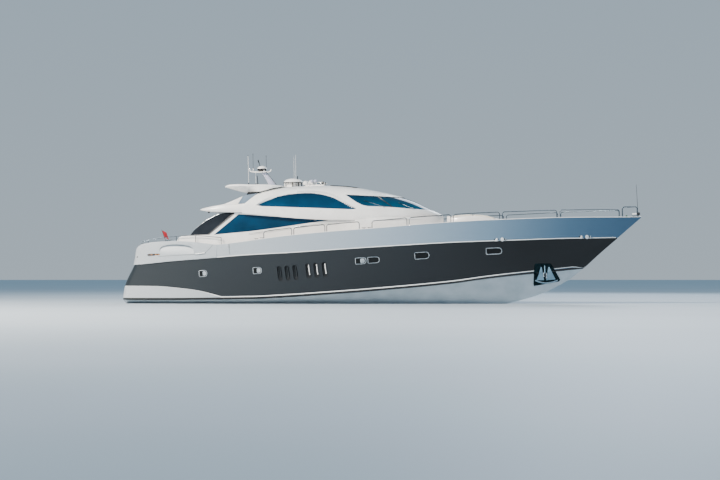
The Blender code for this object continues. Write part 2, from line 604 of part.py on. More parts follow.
def make_glass():
    """The arch windows, windscreen panes and rear window, cut from one curved skin."""
    stations = tuple(x for x in SHELL_STATIONS if x < 3.95)
    deep = GLASS_SET_BACK + GLASS_THICK
    skin = shell_solid("skin", stations, GLASS_SET_BACK, GLASS_SET_BACK)
    skin.data.materials.append(glass)
    inner_x = (-8.8,) + tuple(x for x in stations if -8 < x < 3.8)
    combine(skin, [shell_solid("skin_inside", inner_x, deep, deep, 0.06)], "DIFFERENCE")

    def pane(name, outline, low, high):
        made = add_object(name, skin.data.copy())
        return combine(made, [prism("pane_cutter", outline, low, high)], "INTERSECT")

    pane("arch_window_starboard", shrunk(ARCH_WINDOW, 0.0006), -3.5, -0.8)
    pane("arch_window_port", shrunk(ARCH_WINDOW, 0.0006), 0.8, 3.5)
    screen = shrunk(WINDSCREEN, 0.0006)
    top, foot = Vector(MULLION[0]), Vector(MULLION[1])
    along = (foot - top).normalized()
    a, b = top - along, foot + along
    aft_side = [(a.x - 0.02, a.y), (b.x - 0.02, b.y), (-4, 4.5), (-4, 7.4)]
    fore_side = [(a.x + 0.02, a.y), (b.x + 0.02, b.y), (4, 4), (4.5, 7.4)]
    side_pane = pane("windscreen_starboard", screen, -3.5, -0.4)
    combine(side_pane, [prism("split", aft_side, -4, 4)], "INTERSECT")
    port_copy(side_pane, "windscreen_port")
    centre = pane("windscreen_centre", screen, -3.5, 3.5)
    combine(centre, [prism("split", fore_side, -4, 4)], "INTERSECT")
    bpy.data.objects.remove(skin)

    curve = [(x + 0.01, z) for x, z in ARCH_AFT_CURVE[:-2]]
    strip = [(-8.41, 5.62)] + curve + [(x + 0.05, z - 0.02) for x, z in reversed(curve)] + [(-8.36, 5.62)]
    rear = shell_solid("rear_window", inside_stations(), SHELL_WALL_Y + FIT_GAP, SHELL_ROOF + FIT_GAP, 0.06)
    rear.data.materials.append(glass)
    combine(rear, [prism("strip", strip, -3, 3)], "INTERSECT")
    return rear


def house_top_line():
    """The line under the overhang and the upper house on which the side walls end."""
    aft = [(x, table_at(OVERHANG_BOTTOM, x) - FIT_GAP) for x in OVERHANG_STATIONS if x > -9.5]
    fore = [(x, table_at(LIP_Z, x) - FIT_GAP) for x in SHELL_STATIONS if x < 0]
    return aft + [(-8.6012, aft[-1][1])] + [(-8.601, fore[0][1])] + fore


def make_lower_house():
    """Side walls with their long windows, the quarter screens, the aft wall and its sliding doors."""
    outer, inner = -LOWER_HOUSE_Y, -LOWER_HOUSE_Y + HOUSE_WALL
    top_line = house_top_line()
    deck = [(x, table_at(DECK_Z, x) + FIT_GAP) for x in SIDE_STATIONS if -9 < x < -1.5]
    deck_line = [(x, table_at(DECK_Z, x) + FIT_GAP) for x in SIDE_STATIONS]
    foot = [(-1.42, line_at(deck_line, -1.42))] + deck[::-1] + [(-10.1, line_at(deck_line, -10.1))]
    top = [p for p in top_line if -9.1 < p[0] < -1.42]
    outline = [(-10.44, 4.06), (-9.11, line_at(top_line, -9.11)), *top, (-1.42, line_at(top_line, -1.42))]
    outline += foot
    wall = prism("house_side_starboard", outline, outer, inner - FIT_GAP, gelcoat)
    coaming = [(-12.948, SOLE_Z + FIT_GAP), (-12.948, 3.62), (-12.8, 3.90), (-12.45, 4.03), (-12.06, 4.06),
               (-10.35, 4.06), (-10.05, 3.35), (-10.05, 3.07), (-10.21, 3.07), (-10.21, SOLE_Z + FIT_GAP)]
    coaming = prism("coaming", coaming, outer - 0.03, inner - FIT_GAP)
    combine(wall, [coaming], "UNION")
    combine(wall, [prism("window_cutter", LOWER_WINDOW, -3, -2)], "DIFFERENCE")
    port_copy(wall, "house_side_port")
    window = prism("side_window_starboard", shrunk(LOWER_WINDOW, 0.0006), outer + 0.02, outer + 0.05, glass)
    port_copy(window, "side_window_port")
    pane = prism("quarter_screen_starboard", QUARTER_SCREEN, outer - 0.015, outer + 0.03, dark_glass)
    port_copy(pane, "quarter_screen_port")


def make_aft_wall():
    """The wall across the saloon's aft end, with a wide doorway and two sliding leaves."""
    roof = [(x, table_at(OVERHANG_BOTTOM, x)) for x in OVERHANG_STATIONS]
    top = line_at(roof, -9.50) - FIT_GAP
    half = LOWER_HOUSE_Y - HOUSE_WALL - FIT_GAP
    wall = box("saloon_aft_wall", (-9.60, -half, SOLE_Z + FIT_GAP), (-9.50, half, top), gelcoat)
    opening = box("doorway", (-10, -DOOR_WIDTH, SOLE_Z + 0.05), (-9, DOOR_WIDTH, DOOR_TOP))
    combine(wall, [opening], "DIFFERENCE")
    leaf = box("saloon_door_starboard", (-9.646, -DOOR_WIDTH - 0.03, SOLE_Z + 0.012),
               (-9.606, -0.003, DOOR_TOP + 0.05), glass)
    runner = box("runner", (-9.632, -DOOR_WIDTH, DOOR_TOP + 0.03),
                 (-9.620, -0.05, DOOR_TOP + 0.056 - FIT_GAP))
    combine(leaf, [runner], "UNION")
    port = port_copy(leaf, "saloon_door_port")
    place_origin(leaf, (-9.626, -DOOR_WIDTH / 2, DOOR_TOP + 0.03))
    place_origin(port, (-9.626, DOOR_WIDTH / 2, DOOR_TOP + 0.03))
    track = box("door_track", (-9.66, -half, DOOR_TOP + 0.056), (-9.595, half, DOOR_TOP + 0.12))
    return combine(wall, [track], "UNION")


def make_overhang():
    """The roof over the aft deck."""
    sections = []
    for x in OVERHANG_STATIONS:
        wide = table_at(OVERHANG_Y, x)
        top, low = table_at(OVERHANG_TOP, x), table_at(OVERHANG_BOTTOM, x)
        edge = low + (top - low) * 0.35
        sections.append([(x, -wide, edge), (x, -wide + 0.10, low), (x, wide - 0.10, low), (x, wide, edge),
                         (x, wide - 0.12, top), (x, 0, top + 0.05), (x, -wide + 0.12, top)])
    return loft("aft_overhang", sections, gelcoat)


def make_radar_wing(overhang):
    """The wing across the back of the roof and the fins and glass that stand under its ends."""
    seat = [(x - FIT_GAP, z + FIT_GAP) for x, z in reversed(ARCH_AFT_CURVE[3:])]
    outline = [(-9.70, 7.07), (-9.05, 7.17), (-8.1, 7.20), (-7.2, 7.20), (-6.4, 7.15), (-6.1004, 7.115)]
    outline += seat + [(-7.55, WING_UNDER_Z), (-8.32, WING_UNDER_Z), (-8.9, 6.87)]
    wing = prism("radar_wing", outline, -2.36, 2.36, gelcoat)
    plan = [(-9.8, -1.75), (-9.55, -2.15), (-9.1, -2.32), (-8.5, -2.36), (-7.3, -2.30), (-6.6, -2.0),
            (-6.0, -1.5)]
    combine(wing, [prism("plan", plan + [(x, -y) for x, y in reversed(plan)], 6, 8, axis="Z")], "INTERSECT")
    for x, y, foot, high in WHIPS[:2]:
        combine(wing, [rod("whip", (x, y, foot - 0.03), (x - 0.02, y, high), 0.022, 0.012, 8)], "UNION")
    curve = [(x - FIT_GAP, z) for x, z in ARCH_AFT_CURVE[:3]]
    top = WING_UNDER_Z - FIT_GAP
    fin = [(-10.2, 5.90), (-10.1, 5.965), (-9.42, 6.03), (-8.7, 6.30), (-8.42, 6.52), (-8.30, top),
           (-7.62, top), (-7.90, 6.52), *curve[1::-1], (-8.603, 5.98), (-8.603, 5.90)]
    starboard = prism("fin", fin, -2.30, -2.24)
    combine(overhang, [port_copy(starboard, "fin_port"), starboard], "UNION")
    return wing


def make_coachroof():
    """The raised deck under the windscreen and the lounge moulding on the foredeck."""
    deck_line = [(x, table_at(DECK_Z, x) + FIT_GAP) for x in SIDE_STATIONS]
    lip = [(x, table_at(LIP_Z, x) - FIT_GAP) for x in SHELL_STATIONS]
    stations = sorted({x for x in SHELL_STATIONS if -1.4 < x < 3.98}
                      | {x for x in SIDE_STATIONS if -1.4 < x < 3.9} | {-1.4, 3.979})
    sections = []
    for x in stations:
        low, top = line_at(deck_line, x), line_at(lip, x)
        wide = table_at(LIP_Y, x)
        foot = wide + 0.10 + 0.5 * max(0.0, (x - 1) / 3)
        sections.append([(x, -foot, low), (x, -wide - 0.02, top - 0.03), (x, -wide + 0.03, top),
                         (x, wide - 0.03, top), (x, wide + 0.02, top - 0.03), (x, foot, low)])
    trunk = loft("coachroof", sections, gelcoat)
    combine(trunk, [box("helm_space", (-2, -2.1, 3.0), (-0.4, 2.1, 5.5))], "DIFFERENCE")
    floor = line_at(deck_line, -0.95)
    outline = [(-0.95, floor), (-0.95, 4.70), (-0.66, 4.975), (-0.3, 4.975), (-0.3, floor + 0.3),
               (-0.45, floor + 0.3), (-0.45, floor + 0.1)]
    console = prism("console", outline, -1.9, -0.3)
    combine(console, [prism("deck_cutter", [(-11, 2)] + deck_line + [(15, 2)], -4, 4)], "DIFFERENCE")
    combine(trunk, [console], "UNION")
    lounge = []
    for x, z, y in LOUNGE_SHAPE:
        low = line_at(deck_line, x) - 0.1
        lounge.append([(x, -y - 0.10, low), (x, -y, z - 0.05), (x, -y + 0.08, z), (x, y - 0.08, z),
                       (x, y, z - 0.05), (x, y + 0.10, low)])
    made = loft("foredeck_lounge", lounge, gelcoat)
    return combine(made, [prism("deck_cutter", [(-11, 2)] + deck_line + [(15, 2)], -4, 4)], "DIFFERENCE")


def make_rails(bulwark):
    """Rail sections on a cap strip along the sheer, starboard."""
    sections = []
    for x in SIDE_STATIONS + STEM_STATIONS:
        if x < GATE_X[1]:
            continue
        low_y, high_y, low_in, high_in, low_z, high_z = bulwark_edges(x)
        sections.append([(x, -high_y, high_z + FIT_GAP), (x, -high_y, high_z + CAP_HEIGHT),
                         (x, -high_in, high_z + CAP_HEIGHT), (x, -high_in, high_z + FIT_GAP)])
    cap = loft("rail_starboard", sections, steel)
    bars = []
    for aft, fore, rise in RAIL_SECTIONS:
        steps = max(2, int((fore - aft) / 1.2) + 1)
        points = []
        for end, inward in ((aft, 1), (fore, -1)):
            foot_y = rail_y(end)
            foot = (end, foot_y, table_at(SHEER_Z, end) + CAP_HEIGHT - 0.02)
            corner = [(end + inward * RAIL_CORNER * (1 - math.cos(t)), foot_y,
                       table_at(SHEER_Z, end) + rise - RAIL_CORNER * (1 - math.sin(t)))
                      for t in (0.0, math.pi / 4, math.pi / 2)]
            arc = [foot] + corner
            points.append(arc if inward > 0 else arc[::-1])
        middle = []
        for step in range(1, steps):
            x = aft + (fore - aft) * step / steps
            if aft + RAIL_CORNER * 1.5 < x < fore - RAIL_CORNER * 1.5:
                middle.append((x, rail_y(x), table_at(SHEER_Z, x) + rise))
        bars.append(tube("rail", points[0] + middle + points[1], RAIL_RADIUS))
    return combine(cap, bars, "UNION")


def rail_y(x):
    low_y, high_y, low_in, high_in, low_z, high_z = bulwark_edges(x)
    return -(high_y + high_in) / 2


def turned(name, profile, place, material, steps=24):
    """A turned solid about the Z axis from (radius, height) points, top to bottom."""
    bm = bmesh.new()
    verts = [bm.verts.new((r, 0, z)) for r, z in profile]
    for a, b in zip(verts, verts[1:]):
        bm.edges.new((a, b))
    mesh = bpy.data.meshes.new(name)
    bm.to_mesh(mesh)
    bm.free()
    made = add_object(name, mesh, material)
    screw = made.modifiers.new("Turn", "SCREW")
    screw.steps = steps
    screw.render_steps = steps
    screw.use_merge_vertices = True
    screw.merge_threshold = 0.0001
    settle(made)
    made.data.transform(Matrix.Translation(place))
    return made


def make_mast(wing):
    """The raked fin, its crosstree with upturned ends, the radome and the aerials."""
    sections = []
    for aft, fore, z, half in MAST_SECTIONS:
        middle = (aft + fore) / 2
        sections.append([(aft, 0, z), (middle, -half, z), (fore, 0, z), (middle, half, z)])
    mast = loft("mast", sections, gelcoat)
    tree = box("tree", (-8.52, -0.30, 8.10), (-7.22, 0.30, 8.16))
    aft_end = box("aft_end", (-8.60, -0.06, 8.10), (-8.46, 0.06, 8.30))
    fore_end = box("fore_end", (-7.28, -0.06, 8.10), (-7.18, 0.06, 8.24))
    x, y, foot, high = WHIPS[2]
    whip = rod("whip", (x, y, foot - 0.03), (x - 0.02, y, high), 0.022, 0.012, 8)
    combine(mast, [tree, aft_end, fore_end, whip], "UNION")
    clear_of(mast, [wing])
    dome = [(0.0, 0.31), (0.20, 0.29), (0.34, 0.22), (0.40, 0.13), (0.38, 0.03), (0.24, 0.0), (0.0, 0.0)]
    radome = turned("radome", dome, (-7.72, 0, 8.1604), gelcoat)
    combine(radome, [rod("light", (-7.86, 0, 8.40), (-7.87, 0, 8.87), 0.035, 0.03, 10)], "UNION")


def make_roof_gear(house):
    """The flattened dome and the light and horn bar on the roof."""
    dome = [(0.0, 0.34), (0.30, 0.33), (0.55, 0.27), (0.66, 0.17), (0.66, 0.13), (0.60, 0.10), (0.42, 0.08),
            (0.42, -0.16), (0.0, -0.16)]
    made = turned("roof_dome", dome, (-5.62, 0, 7.22), gelcoat)
    clear_of(made, [house])
    bar = box("light_bar", (-4.85, -0.55, 7.085), (-3.62, 0.55, 7.20), gelcoat)
    rounded(bar, 0.03, 1, 35)
    clear_of(bar, [house])
    lamp = [(0.0, 0.20), (0.13, 0.19), (0.16, 0.12), (0.16, 0.06), (0.06, 0.04), (0.06, 0.0), (0.0, 0.0)]
    place_origin(turned("searchlight", lamp, (-3.95, 0, 7.2004), steel, 16), (-3.95, 0, 7.2004))
    return made


def make_running_gear(hull):
    """Shafts in their brackets, propellers and rudders, starboard then port."""
    y = -SHAFT_Y
    hub = Vector((PROP_X, y, PROP_Z))
    inner = Vector((SHAFT_FORE_X, y, PROP_Z + (SHAFT_FORE_X - PROP_X) * SHAFT_SLOPE))
    along = (hub - inner).normalized()
    shaft = rod("shaft_starboard", inner, hub, 0.05, None, 12, steel)
    barrel = rod("barrel", hub - along * 0.50, hub - along * 0.06, 0.10, None, 12)
    at = hub - along * 0.28
    outline = [(at.x - 0.16, at.z), (at.x + 0.16, at.z), (at.x + 0.26, -0.2), (at.x - 0.06, -0.2)]
    strut = prism("strut", outline, y - 0.03, y + 0.03)
    combine(shaft, [barrel, strut], "UNION")
    combine(shaft, [add_shifted(hull, (0, 0, -FIT_GAP))], "DIFFERENCE")
    turn = along.to_track_quat("Z", "Y").to_matrix().to_4x4()
    propeller = rod("propeller_starboard", hub + along * FIT_GAP, hub + along * 0.42, 0.13, 0.09, 16, bronze)
    blades = []
    for index in range(PROP_BLADES):
        sections = []
        for radius, chord, pitch in PROP_SECTIONS:
            tilt = math.radians(pitch)
            ring = []
            for u, v in ((-0.5, 0.0), (-0.2, 0.5), (0.2, 0.5), (0.5, 0.0), (0.2, -0.5), (-0.2, -0.5)):
                a, b = u * chord, v * 0.035 * (1.25 - radius)
                ring.append((a * math.cos(tilt) - b * math.sin(tilt), radius,
                             a * math.sin(tilt) + b * math.cos(tilt) + 0.2))
            sections.append(ring)
        blade = loft("blade", sections)
        spin = Matrix.Rotation(2 * math.pi * index / PROP_BLADES, 4, "Z")
        blade.data.transform(Matrix.Translation(hub) @ turn @ spin)
        blades.append(blade)
    combine(propeller, blades, "UNION")
    port_copy(shaft, "shaft_port")
    place_origin(port_copy(propeller, "propeller_port"), (PROP_X, SHAFT_Y, PROP_Z))
    place_origin(propeller, hub)
    blade = prism("rudder_starboard", RUDDER_OUTLINE, y - 0.04, y + 0.04, bronze)
    rounded(blade, 0.025, 1, 35)
    stock = rod("stock", (RUDDER_STOCK_X, y, -0.8), (RUDDER_STOCK_X, y, RUDDER_BOSS_Z - FIT_GAP), 0.045,
                None, 12)
    combine(blade, [stock], "UNION")
    place_origin(port_copy(blade, "rudder_port"), (RUDDER_STOCK_X, SHAFT_Y, RUDDER_BOSS_Z))
    place_origin(blade, (RUDDER_STOCK_X, y, RUDDER_BOSS_Z))


def add_shifted(made, shift):
    copy = add_object("seat", made.data.copy())
    copy.data.transform(Matrix.Translation(shift))
    return copy


def hull_skin(name, outline, near, far, material):
    """A plate that follows the hull side, starboard, between two distances out from it."""
    bands = []
    for out in (near, far):
        sections = []
        for x in HULL_STATIONS:
            half = hull_section(x)
            half = [half[0]] + [(px, py + out, pz) for px, py, pz in half[1:]]
            sections.append(full_loop(half))
        bands.append(loft(name if out == far else "inside", sections, material, HULL_FLIP))
    inner, outer = bands
    combine(outer, [inner], "DIFFERENCE")
    return combine(outer, [prism("plate", outline, -4, -0.06)], "INTERSECT")


def make_bow_gear(deck):
    """Anchor plates and anchors in the bow, windlass, foredeck hatches and the jackstaff."""
    plate = hull_skin("anchor_starboard", ANCHOR_PLATE, FIT_GAP, 0.03, steel)
    combine(plate, [hull_skin("anchor", ANCHOR, 0.02, 0.13, steel)], "UNION")
    port_copy(plate, "anchor_port")
    deck_line = [(x, table_at(DECK_Z, x)) for x in SIDE_STATIONS]
    windlass = box("windlass", (12.0, -0.5, 4.0), (12.45, 0.5, 4.72), steel)
    rounded(windlass, 0.05, 1, 35)
    clear_of(windlass, [deck])
    for index, (x, y) in enumerate(HATCHES):
        z = line_at(deck_line, x + 0.33)
        rim = box("rim", (x - 0.36, y - 0.36, z - 0.2), (x + 0.36, y + 0.36, z + 0.05), steel)
        hole = box("hole", (x - 0.30, y - 0.30, z - 0.3), (x + 0.30, y + 0.30, z + 0.3))
        combine(rim, [hole], "DIFFERENCE")
        combine(deck, [rim], "UNION")
        lid = box("deck_hatch_%d" % (index + 1), (x - 0.34, y - 0.34, z + 0.056),
                  (x + 0.34, y + 0.34, z + 0.09), dark_glass)
        hinge_z = z + 0.05 + HATCH_HINGE_RADIUS + FIT_GAP
        barrel = rod("barrel", (x - 0.34, y - 0.25, hinge_z), (x - 0.34, y + 0.25, hinge_z),
                     HATCH_HINGE_RADIUS, None, 16)
        combine(lid, [barrel], "UNION")
        place_origin(lid, (x - 0.34, y, hinge_z))
    foot = (16.28, 0, table_at(SHEER_Z, 16.28) + CAP_HEIGHT + 0.0012)
    rod("jackstaff", foot, (16.20, 0, 6.75), 0.024, 0.014, 10, steel)


def make_cabin_fittings(deck, base):
    """Helm seat and wheel, the saloon floor with its sofas and table, the cockpit's seat and table."""
    outline = [(-2.1, 3.6), (-2.1, 4.2), (-2.35, 4.25), (-2.45, 5.15), (-2.3, 5.15), (-2.15, 4.42),
               (-1.62, 4.42), (-1.62, 4.2), (-1.8, 4.2), (-1.8, 3.6)]
    seat = prism("helm_seat", outline, -1.75, -0.45, leather)
    clear_of(seat, [deck])
    column, axis = Vector(WHEEL_CENTRE), Vector((math.cos(WHEEL_TILT), 0, -math.sin(WHEEL_TILT)))
    rim = make_ring("steering_wheel", 0.20, 0.018, dark_trim)
    rim.data.transform(Matrix.Translation(column) @ axis.to_track_quat("Z", "Y").to_matrix().to_4x4())
    spokes = [rod("hub", column - axis * 0.02, column + axis * 0.1796, 0.03, None, 10)]
    side, up = Vector((0, 1, 0)), axis.cross(Vector((0, 1, 0)))
    for angle in (0.5 * math.pi, 1.17 * math.pi, 1.83 * math.pi):
        out = side * math.cos(angle) + up * math.sin(angle)
        spokes.append(rod("spoke", column, column + out * 0.20, 0.012, None, 8))
    combine(rim, spokes, "UNION")
    place_origin(rim, column)
    house = LOWER_HOUSE_Y - HOUSE_WALL - FIT_GAP
    saloon = box("saloon_interior", (-9.62 + FIT_GAP, -house, 1.5),
                 (SALOON_FORE_X - FIT_GAP, house, SOLE_Z), wood)
    combine(saloon, [hull_top_cutter()], "DIFFERENCE")
    low = SOLE_Z - 0.02
    sofa = [(-2.30, low), (-2.30, 3.75), (-2.12, 3.75), (-2.05, 3.34), (-1.45, 3.34), (-1.45, low)]
    starboard = prism("sofa", sofa, -8.6, -6.0, leather, axis="X")
    top = box("table", (-7.9, -0.55, 3.30), (-6.7, 0.55, 3.36), wood)
    leg = box("leg", (-7.45, -0.18, low), (-7.15, 0.18, 3.33))
    combine(saloon, [port_copy(starboard, "sofa_port"), starboard, leg, top], "UNION")
    seat_z = SOLE_Z + FIT_GAP
    prism("cockpit_sofa", [(-12.9, seat_z), (-12.94, 3.60), (-12.78, 3.60), (-12.66, 3.32), (-12.15, 3.32),
                           (-12.15, seat_z)], -1.7, 1.7, cushion_cream)
    table = box("cockpit_table", (-11.6, -0.75, 3.58), (-10.9, 0.75, 3.63), teak)
    combine(table, [box("leg", (-11.35, -0.25, seat_z), (-11.15, 0.25, 3.6))], "UNION")
    staff = rod("ensign_staff", (-13.97, 0, 2.90), (-14.53, 0, 4.52), 0.02, 0.014, 10, wood)
    clear_of(staff, [base])
    flag = [(-14.474, 4.44), (-14.262, 3.83), (-14.20, 3.80), (-14.17, 4.02), (-14.28, 4.36), (-14.40, 4.47)]
    prism("ensign", [(x - 0.0116, z) for x, z in flag], -0.012, 0.012, flag_red)


def make_ring(name, radius, thickness, material):
    """A torus about the Z axis."""
    bm = bmesh.new()
    stand = Matrix.Translation((radius, 0, 0)) @ Matrix.Rotation(math.pi / 2, 4, "X")
    circle = bmesh.ops.create_circle(bm, cap_ends=False, radius=thickness, segments=8, matrix=stand)
    bmesh.ops.spin(bm, geom=circle["verts"] + bm.edges[:], cent=(0, 0, 0), axis=(0, 0, 1), angle=2 * math.pi,
                   steps=24, use_duplicate=False)
    bmesh.ops.remove_doubles(bm, verts=bm.verts, dist=0.0001)
    return from_bmesh(name, bm, material)


def main():
    hull = make_hull()
    topside = make_bulwark()
    gate = make_side_gate(topside)
    combine(topside, [make_quarter()], "UNION")
    port_copy(topside, "topside_port")
    hinge_x = GATE_X[1] - HINGE_RADIUS - FIT_GAP
    place_origin(port_copy(gate, "side_gate_port"), (hinge_x, -GATE_HINGE_Y, 3.3))
    place_origin(gate, (hinge_x, GATE_HINGE_Y, 3.3))
    port_copy(make_rails(topside), "rail_port")
    deck = make_deck()
    base = make_stern_parts()
    house = make_upper_house()
    make_sunroof()
    make_glass()
    make_lower_house()
    make_aft_wall()
    wing = make_radar_wing(make_overhang())
    make_coachroof()
    make_mast(wing)
    make_roof_gear(house)
    make_running_gear(hull)
    make_bow_gear(deck)
    make_cabin_fittings(deck, base)
    shade_round()


for old in list(bpy.data.objects):
    bpy.data.objects.remove(old)
yacht = bpy.data.collections.new("motor_yacht")
bpy.context.scene.collection.children.link(yacht)
graphite = new_material("graphite_topcoat", (0.03, 0.035, 0.04), 0.25)
silver = new_material("silver_topcoat", (0.55, 0.57, 0.60), 0.3, 0.3)
gelcoat = new_material("white_gelcoat", (0.85, 0.85, 0.83), 0.3)
deck_white = new_material("deck_gelcoat", (0.80, 0.80, 0.78), 0.5)
teak = new_material("teak", (0.40, 0.26, 0.14), 0.7)
wood = new_material("varnished_wood", (0.30, 0.18, 0.10), 0.5)
glass = new_material("tinted_glass", (0.02, 0.05, 0.08), 0.05)
dark_glass = new_material("dark_screen", (0.05, 0.06, 0.08), 0.1)
cushion_cream = new_material("cream_cushion", (0.80, 0.77, 0.70), 0.8)
leather = new_material("cream_leather", (0.72, 0.66, 0.56), 0.6)
dark_trim = new_material("dark_trim", (0.06, 0.06, 0.06), 0.5)
steel = new_material("polished_steel", (0.75, 0.76, 0.77), 0.15, 1.0)
bronze = new_material("propeller_bronze", (0.62, 0.45, 0.22), 0.3, 1.0)
flag_red = new_material("red_bunting", (0.60, 0.02, 0.04), 0.8)
main()
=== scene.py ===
# The looks of a sport motor yacht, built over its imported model. Bow at +X, port at +Y, metres.
import bpy
import bmesh
import math
from mathutils import Matrix, Vector, noise


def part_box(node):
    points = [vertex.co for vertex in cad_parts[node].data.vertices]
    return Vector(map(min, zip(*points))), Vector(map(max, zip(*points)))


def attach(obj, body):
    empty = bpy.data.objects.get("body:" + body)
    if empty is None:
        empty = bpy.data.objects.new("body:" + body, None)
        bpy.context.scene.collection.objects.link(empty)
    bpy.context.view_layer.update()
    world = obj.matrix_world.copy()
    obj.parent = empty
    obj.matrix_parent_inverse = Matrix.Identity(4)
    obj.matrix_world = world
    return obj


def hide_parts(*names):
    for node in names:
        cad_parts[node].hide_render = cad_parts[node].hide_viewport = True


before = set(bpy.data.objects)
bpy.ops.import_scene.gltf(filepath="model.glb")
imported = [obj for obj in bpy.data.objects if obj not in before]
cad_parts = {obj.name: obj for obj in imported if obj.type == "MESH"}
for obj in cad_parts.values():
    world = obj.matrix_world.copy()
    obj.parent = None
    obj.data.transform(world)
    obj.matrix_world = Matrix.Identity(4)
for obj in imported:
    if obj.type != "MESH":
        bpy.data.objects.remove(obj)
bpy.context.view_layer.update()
hullBody = "yacht"


def smoothAt(table, x):  # a smooth curve through (x, value) points that never overshoots them
    if x <= table[0][0]:
        return table[0][1]
    if x >= table[-1][0]:
        return table[-1][1]
    i = next(k for k in range(len(table) - 1) if table[k + 1][0] >= x)
    steps = [(b[1] - a[1]) / (b[0] - a[0]) for a, b in zip(table, table[1:])]

    def slope(k):
        if k in (0, len(table) - 1):
            return steps[0] if k == 0 else steps[-1]
        before, after = steps[k - 1], steps[k]
        return 0.0 if before * after <= 0 else 2 * before * after / (before + after)

    (x0, y0), (x1, y1) = table[i], table[i + 1]
    h = x1 - x0
    t = (x - x0) / h
    start, end = slope(i) * h, slope(i + 1) * h
    return (y0 * (2 * t ** 3 - 3 * t ** 2 + 1) + start * (t ** 3 - 2 * t ** 2 + t)
            + y1 * (3 * t ** 2 - 2 * t ** 3) + end * (t ** 3 - t ** 2))


def lineAt(points, x):  # straight lines between (x, value) points
    for (x0, z0), (x1, z1) in zip(points, points[1:]):
        if x0 <= x <= x1:
            return z0 + (z1 - z0) * (x - x0) / (x1 - x0)
    return points[0][1] if x < points[0][0] else points[-1][1]


def spread(start, end, step):  # even places from start to end, at most a step apart
    count = max(1, math.ceil(abs(end - start) / step))
    return [start + (end - start) * k / count for k in range(count + 1)]


def rounder(points, steps=6):  # a smooth open line through points of any dimension
    points = [Vector(p) for p in points]
    padded = [points[0] * 2 - points[1]] + points + [points[-1] * 2 - points[-2]]
    line = []
    for a, b, c, d in zip(padded, padded[1:], padded[2:], padded[3:]):
        for k in range(steps):
            t = k / steps
            line.append(((b * 2) + (c - a) * t + (a * 2 - b * 5 + c * 4 - d) * t ** 2
                         + (b * 3 - a - c * 3 + d) * t ** 3) * 0.5)
    line.append(points[-1])
    return [tuple(p) for p in line]


# Finishes

def linearHex(text):  # an sRGB hex value as the linear colour that a socket takes
    values = [int(text[k:k + 2], 16) / 255 for k in (1, 3, 5)]
    return [v / 12.92 if v <= 0.04045 else ((v + 0.055) / 1.055) ** 2.4 for v in values] + [1.0]


def addNode(tree, kind, settings=None, links=None):
    node = tree.nodes.new(kind)
    for key, value in (settings or {}).items():
        if isinstance(key, int) or key in node.inputs:
            node.inputs[key].default_value = value
        else:
            setattr(node, key, value)
    for key, source in (links or {}).items():
        tree.links.new(source, node.inputs[key])
    return node


def newFinish(name, baseHex, roughness, **sockets):
    material = bpy.data.materials.new(name)
    material.use_nodes = True
    tree = material.node_tree
    shader = tree.nodes["Principled BSDF"]
    shader.inputs["Base Color"].default_value = linearHex(baseHex)
    shader.inputs["Roughness"].default_value = roughness
    for socket, value in sockets.items():
        shader.inputs[socket.replace("_", " ")].default_value = value
    place = addNode(tree, "ShaderNodeTexCoord").outputs["Object"]
    return material, tree, shader, place


def blotches(tree, place, scale, detail=3, stretch=(1, 1, 1)):  # soft noise, scale in features a metre
    moved = addNode(tree, "ShaderNodeMapping", {"Scale": stretch}, {"Vector": place})
    return addNode(tree, "ShaderNodeTexNoise", {"Scale": scale, "Detail": detail}, {"Vector": moved.outputs[0]})


def twoTones(tree, shader, factor, darkHex, lightHex, low=0.35, high=0.65):
    ramp = addNode(tree, "ShaderNodeValToRGB", links={"Fac": factor})
    ramp.color_ramp.elements[0].position = low
    ramp.color_ramp.elements[1].position = high
    ramp.color_ramp.elements[0].color = linearHex(darkHex)
    ramp.color_ramp.elements[1].color = linearHex(lightHex)
    tree.links.new(ramp.outputs["Color"], shader.inputs["Base Color"])
    return ramp


def fadeAlong(tree, place, stops, axis="X"):  # a colour that changes along an axis, from (metres, hex) stops
    parts = addNode(tree, "ShaderNodeSeparateXYZ", links={0: place})
    first, last = stops[0][0], stops[-1][0]
    span = addNode(tree, "ShaderNodeMapRange", {"From Min": first, "From Max": last}, {"Value": parts.outputs[axis]})
    ramp = addNode(tree, "ShaderNodeValToRGB", links={"Fac": span.outputs[0]})
    marks = ramp.color_ramp.elements
    marks[0].color, marks[1].color = linearHex(stops[0][1]), linearHex(stops[-1][1])
    for spot, text in stops[1:-1]:
        marks.new((spot - first) / (last - first)).color = linearHex(text)
    return ramp.outputs["Color"]


def mottled(tree, shader, colour, factor, darkHex):  # darkens a colour where the factor is low
    ramp = addNode(tree, "ShaderNodeValToRGB", links={"Fac": factor})
    ramp.color_ramp.elements[0].position = 0.38
    ramp.color_ramp.elements[1].position = 0.62
    ramp.color_ramp.elements[0].color = linearHex(darkHex)
    mix = addNode(tree, "ShaderNodeMix", {"data_type": "RGBA", "blend_type": "MULTIPLY", 0: 1.0},
                  {6: colour, 7: ramp.outputs["Color"]})
    tree.links.new(mix.outputs[2], shader.inputs["Base Color"])


def roughBetween(tree, shader, factor, low, high):
    span = addNode(tree, "ShaderNodeMapRange", {"To Min": low, "To Max": high}, {"Value": factor})
    tree.links.new(span.outputs[0], shader.inputs["Roughness"])


def bumps(tree, shader, height, depth, strength=1.0):  # depth in metres
    bump = addNode(tree, "ShaderNodeBump", {"Distance": depth, "Strength": strength}, {"Height": height})
    tree.links.new(bump.outputs[0], shader.inputs["Normal"])


